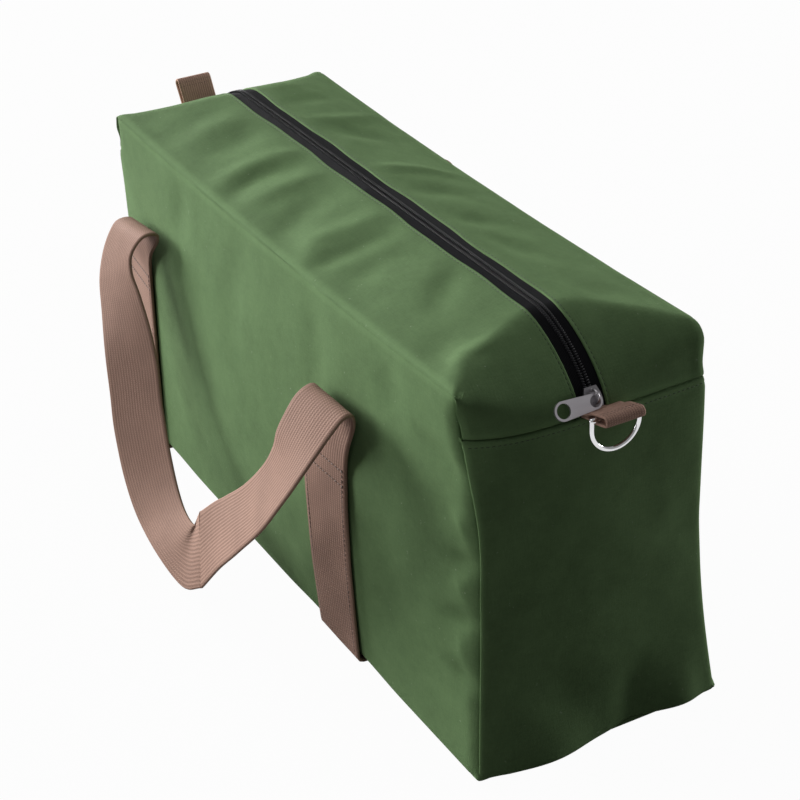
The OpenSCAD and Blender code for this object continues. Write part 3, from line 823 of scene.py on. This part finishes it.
FRONT_TURN, BACK_TURN = 3.5 * MM, 11 * MM  # radius of the top corners


# Length, width and height of one stitch, in millimetres, and the step to the next
CANVAS_STITCH = (2.1, 0.55, 0.5), 3.1
BELT_STITCH = (2.6, 0.7, 0.55), 3.4
LOOP_STITCH = (1.5, 0.5, 0.4), 2.1


def stitches(name, lines, kind, thread):
    """Sewn dashes along each (points, up) line."""
    size, step = kind
    dash = bead("dash", size)
    row = repeated(name, lines, dash, looks()[thread], step * MM)
    bpy.data.objects.remove(dash)
    return row


# Rows of the grids, counted from their last row, that carry the dashes
END_SEAM_ROW, ZIP_EDGE_ROW = -7, -8


class BAG_OT_panels(bpy.types.Operator):
    """Builds the four upright canvas panels and the bottom"""
    bl_idname = "bag.panels"
    bl_label = "Canvas panels"

    def execute(self, context):
        shape, look = Shape(), looks()["sewn_canvas"]
        made = {
            "front_panel_cloth": (long_panel(shape, -1, FRONT_FOLDS, FRONT_TURN, 3.1), "front_panel"),
            "back_panel_cloth": (long_panel(shape, 1, FRONT_FOLDS, BACK_TURN, 8.7), "back_panel"),
            "right_end_cloth": (end_panel(shape, 1, END_FOLDS, 5.3), "right_end_panel"),
            "left_end_cloth": (end_panel(shape, -1, END_FOLDS, 1.9), "left_end_panel"),
            "bottom_cloth": (bottom_panel(shape), "bottom_panel"),
        }
        for name, (sheet, node) in made.items():
            cloth = cloth_grid(name, *sheet, shape.cloth, look)
            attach(cloth, "bag")
            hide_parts(node)
        for end, x in ENDS.items():
            line = made[f"{end}_end_cloth"][0][0][END_SEAM_ROW][8:-8]
            row = stitches(f"{end}_end_stitches", [(line, np.array((x, 0, 0)))], CANVAS_STITCH,
                           "canvas_thread")
            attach(row, "bag")
        return {"FINISHED"}


def blend_half(piece):
    """Bakes the piece's transform into its mesh."""
    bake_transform(piece)


class BAG_OT_top(bpy.types.Operator):
    """Builds the top strips on both sides of the zip"""
    bl_idname = "bag.top"
    bl_label = "Top strips"

    def execute(self, context):
        shape, look = Shape(), looks()["sewn_canvas"]
        for side, y in SIDES.items():
            table = TOP_FRONT_FOLDS if y < 0 else TOP_BACK_FOLDS
            turn = FRONT_TURN if y < 0 else BACK_TURN
            for end, x in ENDS.items():
                sheet = top_strip(shape, y, x, table, turn, 4.4 + y)
                cloth = cloth_grid(f"top_{side}_{end}_cloth", *sheet, shape.cloth, look)
                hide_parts(f"top_strip_{side}", f"top_end_{side}_{end}")
                blend_half(cloth)
                line = sheet[0][ZIP_EDGE_ROW][:-4]
                up = np.cross(unit(np.gradient(line, axis=0)), (0, -x, 0))
                row = stitches(f"top_{side}_{end}_stitches", [(line, up)], CANVAS_STITCH,
                               "canvas_thread")
                blend_half(row)
        return {"FINISHED"}


# Geometry Nodes that repeat a small shape along a line

def repeat_tree(name):
    """Puts a shape at even steps along a line, turned to the line and to its up direction."""
    tree = bpy.data.node_groups.new(name, "GeometryNodeTree")
    for label, kind in (("Line", "Geometry"), ("Step", "Float"), ("Shift", "Float"), ("Slant", "Float"),
                        ("Shape", "Object"), ("Finish", "Material")):
        tree.interface.new_socket(label, in_out="INPUT", socket_type="NodeSocket" + kind)
    tree.interface.new_socket("Geometry", in_out="OUTPUT", socket_type="NodeSocketGeometry")
    start = tree.nodes.new("NodeGroupInput").outputs

    def put(kind, links=(), **settings):
        """A node with its settings and the sockets linked to its inputs"""
        made = tree.nodes.new(kind)
        for key, value in settings.items():
            setattr(made, key, value)
        for key, source in dict(links).items():
            tree.links.new(source, made.inputs[key])
        return made

    curve = put("GeometryNodeMeshToCurve", {"Mesh": start["Line"]})
    trim = put("GeometryNodeTrimCurve", {"Curve": curve.outputs[0]}, mode="LENGTH")
    for socket in trim.inputs:
        if socket.type == "VALUE" and not socket.is_unavailable:
            if socket.name == "End":
                socket.default_value = 10.0  # metres, beyond the end of any line
            else:
                tree.links.new(start["Shift"], socket)
    even = put("GeometryNodeResampleCurve", {"Curve": trim.outputs[0], "Length": start["Step"]},
               mode="LENGTH")
    up = put("GeometryNodeInputNamedAttribute", data_type="FLOAT_VECTOR")
    up.inputs["Name"].default_value = "up"
    first = put("FunctionNodeAlignRotationToVector",
                {"Vector": put("GeometryNodeInputTangent").outputs[0]}, axis="X")
    second = put("FunctionNodeAlignRotationToVector",
                 {"Rotation": first.outputs[0], "Vector": up.outputs["Attribute"]},
                 axis="Z", pivot_axis="X")
    slant = put("ShaderNodeCombineXYZ", {"Z": start["Slant"]})
    euler = put("FunctionNodeEulerToRotation", {"Euler": slant.outputs[0]})
    turn = put("FunctionNodeRotateRotation",
               {"Rotation": second.outputs[0], "Rotate By": euler.outputs[0]}, rotation_space="LOCAL")
    shape = put("GeometryNodeObjectInfo", {"Object": start["Shape"]})
    each = put("GeometryNodeInstanceOnPoints",
               {"Points": even.outputs[0], "Instance": shape.outputs["Geometry"],
                "Rotation": turn.outputs[0]})
    real = put("GeometryNodeRealizeInstances", {"Geometry": each.outputs[0]})
    paint = put("GeometryNodeSetMaterial", {"Geometry": real.outputs[0], "Material": start["Finish"]})
    put("NodeGroupOutput", {"Geometry": paint.outputs[0]})
    return tree


def repeated(name, lines, shape, material, step, shift=0.0, slant=0.0):
    """A plain mesh with the shape repeated along each (points, up) line."""
    tree = bpy.data.node_groups.get("repeat_along") or repeat_tree("repeat_along")
    points = np.concatenate([p for p, _ in lines])
    ups = np.concatenate([np.broadcast_to(u, p.shape) for p, u in lines])
    edges, start = [], 0
    for p, _ in lines:
        edges += [(start + k, start + k + 1) for k in range(len(p) - 1)]
        start += len(p)
    guide = bpy.data.meshes.new(name + "_guide")
    guide.from_pydata([tuple(map(float, p)) for p in points], edges, [])
    guide.attributes.new("up", "FLOAT_VECTOR", "POINT").data.foreach_set(
        "vector", ups.astype(np.float32).ravel())
    carrier = add_object(name + "_guide", guide)
    modifier = carrier.modifiers.new("repeat", "NODES")
    modifier.node_group = tree
    keys = {i.name: i.identifier for i in tree.interface.items_tree if i.in_out == "INPUT"}
    for label, value in (("Step", step), ("Shift", shift), ("Slant", slant), ("Shape", shape),
                         ("Finish", material)):
        modifier[keys[label]] = value
    graph = bpy.context.evaluated_depsgraph_get()
    mesh = bpy.data.meshes.new_from_object(carrier.evaluated_get(graph))
    bpy.data.objects.remove(carrier)
    if not mesh.polygons:
        raise RuntimeError(f"{name} came out empty")
    mesh.name = name
    mesh.polygons.foreach_set("use_smooth", [True] * len(mesh.polygons))
    if "up" in mesh.attributes:
        mesh.attributes.remove(mesh.attributes["up"])
    return add_object(name, mesh)


def bead(name, size):
    """A small rounded bar, its size in millimetres, that is repeated and then removed."""
    mesh = bpy.data.meshes.new(name)
    maker = bmesh.new()
    bmesh.ops.create_uvsphere(maker, u_segments=6, v_segments=4, radius=1.0,
                              matrix=Matrix.Rotation(math.pi / 2, 4, "Y"))
    for v in maker.verts:
        v.co.x = math.copysign(abs(v.co.x) ** 0.6, v.co.x)
        v.co = Vector([c * length * MM / 2 for c, length in zip(v.co, size)])
    maker.to_mesh(mesh)
    maker.free()
    made = add_object(name, mesh)
    made.hide_render = True
    return made


# Zip

TAPE_NEAR, TAPE_FAR = 0.2 * MM, 11.5 * MM  # the tape's edges, from the zip's middle
TAPE_DROP, TAPE_SLOPE = 1.25 * MM, 0.25 * MM  # below the canvas, and what the far edge adds
TAPE_THICK = 0.6 * MM
COIL_GAP, COIL_DROP = 0.15 * MM, 0.75 * MM  # from the zip's middle to a row, and below the canvas
COIL_SLANT = math.radians(17)


def tape_grid(shape, side, end):
    """Points of one tape from the bag's middle to its end, their cloth coordinates and wear."""
    where = np.linspace(0, distances_along(shape.zip_line(0, TAPE_DROP))[-1], 150)
    across = np.linspace(TAPE_NEAR, TAPE_FAR, 7)
    drops = TAPE_DROP + TAPE_SLOPE * ease((across - TAPE_NEAR) / (TAPE_FAR - TAPE_NEAR))
    grid = np.array([spread(shape.zip_line(y * side, drop), where) for y, drop in zip(across, drops)])
    grid[..., 0] *= end
    return grid, np.stack(np.broadcast_arrays(across[:, None], where), -1), 0 * grid[..., 0]


class BAG_OT_zip(bpy.types.Operator):
    """Builds the zip's tapes and both rows of its coil"""
    bl_idname = "bag.zip"
    bl_label = "Zip tapes and coil"

    def execute(self, context):
        shape, look, sizes = Shape(), looks(), context.scene.zip_sizes
        tooth = bead("tooth", (0.92, sizes.coil_width / MM, 1.7))
        for side, y in SIDES.items():
            for end, x in ENDS.items():
                tape = cloth_grid(f"tape_{side}_{end}", *tape_grid(shape, y, x), TAPE_THICK,
                                  look["tape_weave"])
                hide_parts(f"zip_tape_{side}", f"zip_tape_end_{side}_{end}")
                blend_half(tape)
                line = shape.zip_line((sizes.coil_width / 2 + COIL_GAP) * y, COIL_DROP)
                up = np.cross(unit(np.gradient(line, axis=0)), (0, -1, 0))
                line[:, 0] *= x
                up[:, 0] *= x
                if up[0, 2] < 0:
                    up = -up
                coil = repeated(f"coil_{side}_{end}", [(line, up)], tooth, look["coil_nylon"],
                                sizes.pitch, sizes.pitch * (0.25 if y > 0 else 0.75), COIL_SLANT * y * x)
                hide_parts(f"zip_coil_{side}", f"zip_coil_end_{side}_{end}")
                blend_half(coil)
        bpy.data.objects.remove(tooth)
        return {"FINISHED"}


# Webbing

def soft_curve(points, step):
    """Even points on a smooth curve through the given ones."""
    p = np.asarray(points, float)
    flat = p.reshape(len(p), -1)
    ext = np.concatenate([[2 * flat[0] - flat[1]], flat, [2 * flat[-1] - flat[-2]]])
    out = []
    for k in range(1, len(ext) - 2):
        a, b, c, d = ext[k - 1:k + 3]
        for t in np.linspace(0, 1, 24, endpoint=False):
            out.append(0.5 * (2 * b + (c - a) * t + (2 * a - 5 * b + 4 * c - d) * t ** 2
                              + (3 * b - a - 3 * c + d) * t ** 3))
    out.append(ext[-2])
    out = np.array(out)
    middle = out.reshape(len(out), -1, 3).mean(axis=1)
    run = distances_along(middle)
    where = np.linspace(0, run[-1], max(3, int(run[-1] / step) + 1))
    even = np.stack([np.interp(where, run, out[:, k]) for k in range(out.shape[1])], -1)
    return even.reshape(len(where), *p.shape[1:]), where


STRAP_EDGE = [0, 0.12, 0.5, 1.2]  # in millimetres, from the edge to the points that round it
STRAP_WAVE = 0.35 * MM  # how uneven the webbing lies


def strap_mesh(name, stations, thick, material, width, step=2.5 * MM, flip=False):
    """A woven strap through pairs of edge points, with rounded edges and closed ends."""
    pairs, run = soft_curve(stations, step)
    inner = list(np.linspace(3.0, width / MM - 3.0, 15))
    spots = np.array(STRAP_EDGE + inner + [width / MM - e for e in STRAP_EDGE[::-1]]) * MM
    k = spots / width
    off = np.minimum(spots, width - spots)
    round_off = np.sqrt(np.clip(1 - (1 - np.minimum(off / (thick / 2), 1)) ** 2, 0, 1))
    middle = pairs.mean(axis=1)
    along = unit(np.gradient(middle, axis=0))
    across = unit(pairs[:, 1] - pairs[:, 0])
    normal = unit(np.cross(across, along)) * (-1 if flip else 1)
    centre = pairs[:, :1] * (1 - k)[None, :, None] + pairs[:, 1:] * k[None, :, None]
    p, q = np.broadcast_arrays(spots[None, :], run[:, None])
    lift = wobble(np.stack([p, q, 0 * p], -1), 0.03, 2.2) * STRAP_WAVE
    centre = centre + normal[:, None] * lift[..., None]
    face = np.cross(np.gradient(centre, axis=1), np.gradient(centre, axis=0))
    out = unit(face) * (-1 if flip else 1) * (round_off * thick / 2)[None, :, None]
    loop = np.concatenate([centre + out, (centre - out)[:, -2:0:-1]], axis=1)
    n, m = loop.shape[:2]
    index = np.arange(n * m).reshape(n, m)
    nxt = np.roll(index, -1, axis=1)
    faces = np.stack([index[:-1].ravel(), nxt[:-1].ravel(), nxt[1:].ravel(), index[1:].ravel()],
                     1).tolist()
    for row, way in ((0, -1), (n - 1, 1)):
        for c in range(len(spots) - 1):  # the first and the last close on a shared point
            quad = list(dict.fromkeys((c, c + 1, m - c - 1, (m - c) % m)))
            faces.append([row * m + k for k in quad[::way]])
    if flip:
        faces = [f[::-1] for f in faces]
    u = np.concatenate([spots, spots[1:-1][::-1]])
    uv = np.stack(np.broadcast_arrays(u[None, :], run[:, None]), -1)
    border = np.exp(-(np.minimum(u, width - u) / (1.2 * MM)) ** 2)
    mesh = mesh_from(name, loop.reshape(-1, 3), faces, uv, "edge", np.broadcast_to(border, (n, m)),
                     sharp=60)
    made = add_object(name, mesh, [material])
    maker = bmesh.new()
    maker.from_mesh(mesh)
    bmesh.ops.recalc_face_normals(maker, faces=maker.faces)
    maker.to_mesh(mesh)
    maker.free()
    return made


# Free webbing of each half handle, from its belt to the middle of the grip: the two edge points of
# each station, in millimetres
FRONT_RIGHT = [
    (75, -89.5, 160, 125, -89.5, 160), (84, -89, 177, 133, -89, 178),
    (89, -92, 187, 138, -92, 189), (92, -99, 189, 140, -98, 191),
    (93, -107.5, 184, 141, -105.5, 186), (93, -118, 168, 141, -118, 173),
    (91, -121, 155, 139, -127, 161), (79, -123, 137, 128, -133, 142),
    (55, -125, 112, 103, -138, 109), (23, -126, 86, 69, -142, 74),
    (9, -128, 75, 40, -143, 46), (-9, -131, 59, 12, -144, 16),
]
FRONT_LEFT = [
    (-223, -84.5, 158, -174, -84.5, 160), (-205, -85, 173, -158, -85, 177),
    (-197, -88, 180.5, -150, -88, 186), (-195, -95, 183, -147, -95, 189.5),
    (-197, -101, 179, -148, -101, 187), (-203, -107, 161, -155, -106, 174),
    (-197, -115, 142, -152, -108, 162), (-181, -122, 124, -141, -108, 150),
    (-164, -129, 104, -128, -108, 131), (-150, -134, 79, -116, -110, 109),
    (-138, -138, 54, -102, -115, 83), (-117, -142, 28, -78, -121, 51),
    (-90, -145, 12, -51, -127, 39), (-48, -148, 6, -21, -132, 42),
    (-10, -148, 5, -20, -128, 49), (12, -144, 16, -9, -131, 59),
]
BACK_RIGHT = [
    (73, 91, 160, 123, 91, 160), (80, 95, 177, 129, 95, 178),
    (84, 104, 187, 133, 104, 189), (87, 114, 190, 135, 114, 192),
    (88, 121.5, 183, 136, 121.5, 186), (89, 126, 166, 137, 130, 170),
    (87, 127, 153, 136, 134, 158), (79, 127, 138, 128, 137, 142),
    (55, 128, 112, 103, 141, 109), (23, 129, 86, 69, 144, 74),
    (9, 131, 75, 40, 145, 46), (-9, 133, 60, 12, 146, 16),
]
BACK_LEFT = [
    (-216, 86, 158, -168, 87, 163), (-192, 94, 178, -146, 95, 186),
    (-174, 104, 192, -127, 105, 199), (-164, 115, 197, -116, 116, 203),
    (-162, 123.5, 187, -114, 123.5, 193), (-164, 131, 163, -116, 130, 174),
    (-166, 136, 142, -120, 132, 160), (-162, 139, 122, -118, 131, 144),
    (-154, 141, 100, -112, 130, 125), (-145, 142, 76, -104, 129, 102),
    (-134, 143, 52, -94, 129, 80), (-115, 144, 28, -76, 130, 56),
    (-90, 146, 12, -51, 131, 41), (-48, 148, 6, -21, 133, 43),
    (-10, 148, 5, -20, 130, 50), (12, 146, 16, -9, 133, 60),
]

# Each strap: its stations, and where it passes from the bag to the handle: two depths and a slope
STRAPS = {
    ("front", "right"): (FRONT_RIGHT, (0.121, 0.143), 0.2),
    ("front", "left"): (FRONT_LEFT, (0.092, 0.110), 0.05),
    ("back", "right"): (BACK_RIGHT, (0.092, 0.121), 0.0),
    ("back", "left"): (BACK_LEFT, (0.088, 0.123), 0.0),
}
BELT_LIFT, BELT_FLOOR = 1.9 * MM, 1.2 * MM  # middle of a belt, off the canvas and off the floor
BELT_HEIGHTS = [5, 10, 22, 42, 62, 82, 102, 122, 141]  # of its stations up a side, in millimetres
STITCH_FROM_MIDDLE, STITCH_FOOT = 21.5 * MM, 9 * MM  # the two upright seams of a belt
BOX_TOP, BOX_FOOT = 3 * MM, 13 * MM  # its two cross seams, below the end of the sewn length


def belt_y(shape, x, z):
    """Depth of the middle of a belt's webbing where it is sewn to a side."""
    v = z / shape.seam
    return shape.side_y(np.abs(x) / shape.half_x(v), v) + BELT_LIFT


def riser_stations(shape, centre, side):
    """Edge pairs under the bag and up its side, lying on the canvas."""
    edges = centre - BELT_HALF, centre + BELT_HALF
    turn = shape.half_y(0) + BELT_LIFT
    under = [(y, BELT_FLOOR) for y in (0.0, 0.03, turn - 12 * MM, turn - 4 * MM)]
    pairs = [[(x, y * side, z) for x in edges] for y, z in under + [(turn - 1 * MM, 2.2 * MM)]]
    for z in np.array(BELT_HEIGHTS) * MM:
        pairs.append([(x, belt_y(shape, x, z) * side, z) for x in edges])
    return pairs


class BAG_OT_straps(bpy.types.Operator):
    """Builds the belts and handles, one half of a handle with its belt at a time"""
    bl_idname = "bag.straps"
    bl_label = "Webbing belts and handles"

    def execute(self, context):
        shape, look, sizes = Shape(), looks(), context.scene.webbing_sizes
        for (side, end), (stations, (near, far), slope) in STRAPS.items():
            y, centre = SIDES[side], BELT_AT[end]
            pairs = riser_stations(shape, centre, y)
            pairs += (np.array(stations).reshape(-1, 2, 3) * MM).tolist()
            strap = strap_mesh(f"strap_{side}_{end}", pairs, sizes.thick, look["handle_webbing"],
                               sizes.width, flip=y > 0)
            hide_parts(f"belt_{end}", f"handle_bend_{side}_{end}", f"handle_{side}")
            ahead = Vector((0, y, slope)).normalized()
            start = Vector((0, y * near, 0))
            start + ahead * (far - near)
            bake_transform(strap)
            sides = centre - STITCH_FROM_MIDDLE, centre + STITCH_FROM_MIDDLE
            up = np.linspace(STITCH_FOOT, sizes.sewn - BOX_TOP, 60)
            across = np.linspace(*sides, 20)
            lines = []
            for x, z in ((sides[0], up), (sides[1], up), (across, sizes.sewn - BOX_TOP),
                         (across, sizes.sewn - BOX_FOOT)):
                depth = belt_y(shape, x, z) + sizes.thick / 2
                line = np.stack(np.broadcast_arrays(x, depth * y, z), -1)
                lines.append((line, np.array((0, y, 0.0))))
            seams = stitches(f"belt_stitches_{side}_{end}", lines, BELT_STITCH, "webbing_thread")
            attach(seams, "bag")
        return {"FINISHED"}


# Loops, ring and slider

LOOP_ROOT = (243.994 * MM, 215.5 * MM)
LOOP_FOLD = 2.6 * MM  # radius of the fold, to the middle of the webbing
LOOPS = {  # degrees above level, reach, middle in Y
    "right": (16, 20 * MM, 5 * MM),
    "left": (60, 32 * MM, -7 * MM),
}


def loop_line(reach, thick):
    """Middle line of the folded webbing, seen from its side: out on top, round the fold and back."""
    flat = thick / 2
    top = [(-3 * MM, flat), (1.5 * MM, flat), (4 * MM, flat + 0.2 * MM), (8 * MM, flat + 1.4 * MM),
           (reach - 7 * MM, LOOP_FOLD - 0.1 * MM), (reach - 3 * MM, LOOP_FOLD)]
    arc = [(reach + LOOP_FOLD * math.sin(a), LOOP_FOLD * math.cos(a))
           for a in np.radians([0, 25, 50, 75, 90, 105, 130, 155, 180])]
    return top + arc + [(x, -z) for x, z in top[::-1]]


class BAG_OT_loops(bpy.types.Operator):
    """Builds the two folded webbing loops in the end seams"""
    bl_idname = "bag.loops"
    bl_label = "End loops"

    def execute(self, context):
        look, sizes = looks(), context.scene.webbing_sizes
        half = sizes.loop_width / 2
        for end, (tilt, reach, middle) in LOOPS.items():
            x = ENDS[end]
            turn = math.radians(tilt)

            def at(out, rise, y):
                return (x * (LOOP_ROOT[0] + out * math.cos(turn) - rise * math.sin(turn)), y,
                        LOOP_ROOT[1] + out * math.sin(turn) + rise * math.cos(turn))

            line = loop_line(reach, sizes.loop_thick)
            pairs = [[at(a, b, middle - half), at(a, b, middle + half)] for a, b in line]
            strap = strap_mesh(f"loop_{end}_webbing", pairs, sizes.loop_thick, look["loop_webbing"],
                               sizes.loop_width, step=0.8 * MM)
            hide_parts(f"loop_{end}")
            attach(strap, "bag")
            rows = []
            for out in (reach - 0.6 * MM, reach - 3.2 * MM):
                y = np.linspace(middle - half + 1 * MM, middle + half - 1 * MM, 12)
                row = np.array([at(out, LOOP_FOLD + sizes.loop_thick / 2, k) for k in y])
                rows.append((row, np.array((-x * math.sin(turn), 0, math.cos(turn)))))
            seams = stitches(f"loop_{end}_stitches", rows, LOOP_STITCH, "webbing_thread")
            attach(seams, "bag")
        return {"FINISHED"}


class BAG_OT_fittings(bpy.types.Operator):
    """Gives the slider, its tab and the ring their metal finishes"""
    bl_idname = "bag.fittings"
    bl_label = "Slider, tab and ring"

    def execute(self, context):
        look = looks()
        # the slider body gets the painted-shade copy of the gunmetal
        for node, finish in (("zip_slider", "slider_plating"), ("zip_bail", "gunmetal_plating"),
                             ("zip_pull_tab", "gunmetal_plating"), ("d_ring", "chrome_plating")):
            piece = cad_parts[node]
            piece.data.materials.clear()
            piece.data.materials.append(look[finish])
        return {"FINISHED"}


# Stage

CAMERA_AT = (1045.9 * MM, -541.2 * MM, 781.6 * MM)
CAMERA_AZIMUTH, CAMERA_ELEVATION, CAMERA_ROLL = 62.154, 29.917, -2.397
CAMERA_LENS, SENSOR_WIDTH = 93.86, 36.0
FLOOR_REACH = 6.0
FLOOR_GREY = (0.30, 0.30, 0.295, 1)
DOME_WHITE, DOME_STRENGTH = (0.98, 0.99, 1.0, 1), 0.108
# How much of the white the camera sees, and how much metal sees
FLOOR_WHITE, DOME_SEEN = (0.97, 0.9), (1.0, 0.22)
LAMPS = {  # place, aim, width and height, watts
    "key": ((-5.95, -2.02, 1.38), (0, 0, 0.10), (4.8, 2.6), 1190),
    "front": ((-0.9, -3.0, 1.0), (0, 0, 0.1), (1.6, 1.2), 28),
    "top": ((-0.6, 0.1, 2.2), (0, 0, 0.1), (1.4, 1.4), 12),
    "rim": ((0.28, 2.3, 0.3), (0.22, 0, 0.1), (0.6, 0.6), 44),
}


def white_to_camera(nodes, shaded, share, in_metal):
    """Shows white to the camera and, by the share in_metal, to metal; the plain finish to all else."""
    camera, metal, glass = [nodes.node("ShaderNodeLightPath", output=f"Is {kind} Ray")
                            for kind in ("Camera", "Glossy", "Transmission")]
    seen = camera.maths("MAXIMUM", camera.maths("MAXIMUM", camera, metal * in_metal), glass)
    white = nodes.node("ShaderNodeEmission")
    return nodes.node("ShaderNodeMixShader", values={0: seen * share, 1: shaded, 2: white})


def shade(holder, kind, values, output, shares):
    """Gives a world or a material one plain shader that the camera sees as white."""
    nodes = Nodes(holder)
    plain = nodes.node(kind, values=values)
    nodes.node(output, values={"Surface": white_to_camera(nodes, plain, *shares)})


class BAG_OT_stage(bpy.types.Operator):
    """Sets up the floor, the soft light and the camera"""
    bl_idname = "bag.stage"
    bl_label = "Stage"

    def execute(self, context):
        scene = context.scene
        mesh = bpy.data.meshes.new("floor")
        corners = (-1, -1), (1, -1), (1, 1), (-1, 1)
        mesh.from_pydata([(x * FLOOR_REACH, y * FLOOR_REACH, 0) for x, y in corners], [], [(0, 1, 2, 3)])
        paper = bpy.data.materials.new("floor_paper")
        shade(paper, "ShaderNodeBsdfDiffuse", {"Color": FLOOR_GREY}, "ShaderNodeOutputMaterial",
              FLOOR_WHITE)
        add_object("floor", mesh, [paper])
        scene.world = bpy.data.worlds.new("studio")
        shade(scene.world, "ShaderNodeBackground", {"Color": DOME_WHITE, "Strength": DOME_STRENGTH},
              "ShaderNodeOutputWorld", DOME_SEEN)

        for name, (place, aim, size, power) in LAMPS.items():
            lamp = bpy.data.lights.new(name, "AREA")
            lamp.shape, lamp.energy = "RECTANGLE", power
            lamp.size, lamp.size_y = size
            made = add_object(name, lamp)
            made.location = place
            made.rotation_euler = (Vector(aim) - Vector(place)).to_track_quat("-Z", "Y").to_euler()

        lens = bpy.data.cameras.new("camera")
        lens.lens, lens.sensor_width = CAMERA_LENS, SENSOR_WIDTH
        lens.clip_start, lens.clip_end = 0.05, 50
        eye = add_object("camera", lens)
        a, e = math.radians(CAMERA_AZIMUTH), math.radians(CAMERA_ELEVATION)
        back = Vector((math.sin(a) * math.cos(e), -math.cos(a) * math.cos(e), math.sin(e)))
        right = (-back).cross(Vector((0, 0, 1))).normalized()
        up = right.cross(-back)
        turn = (Matrix((right, up, back)).transposed()
                @ Matrix.Rotation(math.radians(CAMERA_ROLL), 3, "Z"))
        eye.matrix_world = Matrix.Translation(CAMERA_AT) @ turn.to_4x4()
        scene.camera = eye
        scene.view_settings.view_transform = "Standard"
        return {"FINISHED"}


class BAG_PT_sidebar(bpy.types.Panel):
    """Sizes, colours and the build steps of the bag"""
    bl_idname = "BAG_PT_sidebar"
    bl_label = "Tool bag"
    bl_space_type = "VIEW_3D"
    bl_region_type = "UI"
    bl_category = "Tool bag"

    def draw(self, context):
        for group in GROUPS:
            holder = getattr(context.scene, group)
            for key in holder.bl_rna.properties.keys():
                if key not in ("rna_type", "name"):
                    self.layout.prop(holder, key)
        for step in STEPS:
            self.layout.operator(step.bl_idname)


GROUPS = {"bag_sizes": BagSizes, "zip_sizes": ZipSizes, "webbing_sizes": WebbingSizes,
          "bag_colours": BagColours}
STEPS = (BAG_OT_stage, BAG_OT_panels, BAG_OT_top, BAG_OT_zip, BAG_OT_straps, BAG_OT_loops,
         BAG_OT_fittings)


def register():
    for group in GROUPS.values():
        bpy.utils.register_class(group)
    for name, group in GROUPS.items():
        setattr(bpy.types.Scene, name, bpy.props.PointerProperty(type=group))
    for step in STEPS + (BAG_PT_sidebar,):
        bpy.utils.register_class(step)


def unregister():
    for step in reversed(STEPS + (BAG_PT_sidebar,)):
        bpy.utils.unregister_class(step)
    for name, group in GROUPS.items():
        delattr(bpy.types.Scene, name)
        bpy.utils.unregister_class(group)


def main():
    register()
    bpy.ops.bag.stage()
    bpy.ops.bag.panels()
    bpy.ops.bag.top()
    bpy.ops.bag.zip()
    bpy.ops.bag.straps()
    bpy.ops.bag.loops()
    bpy.ops.bag.fittings()


if __name__ == "__main__":
    main()
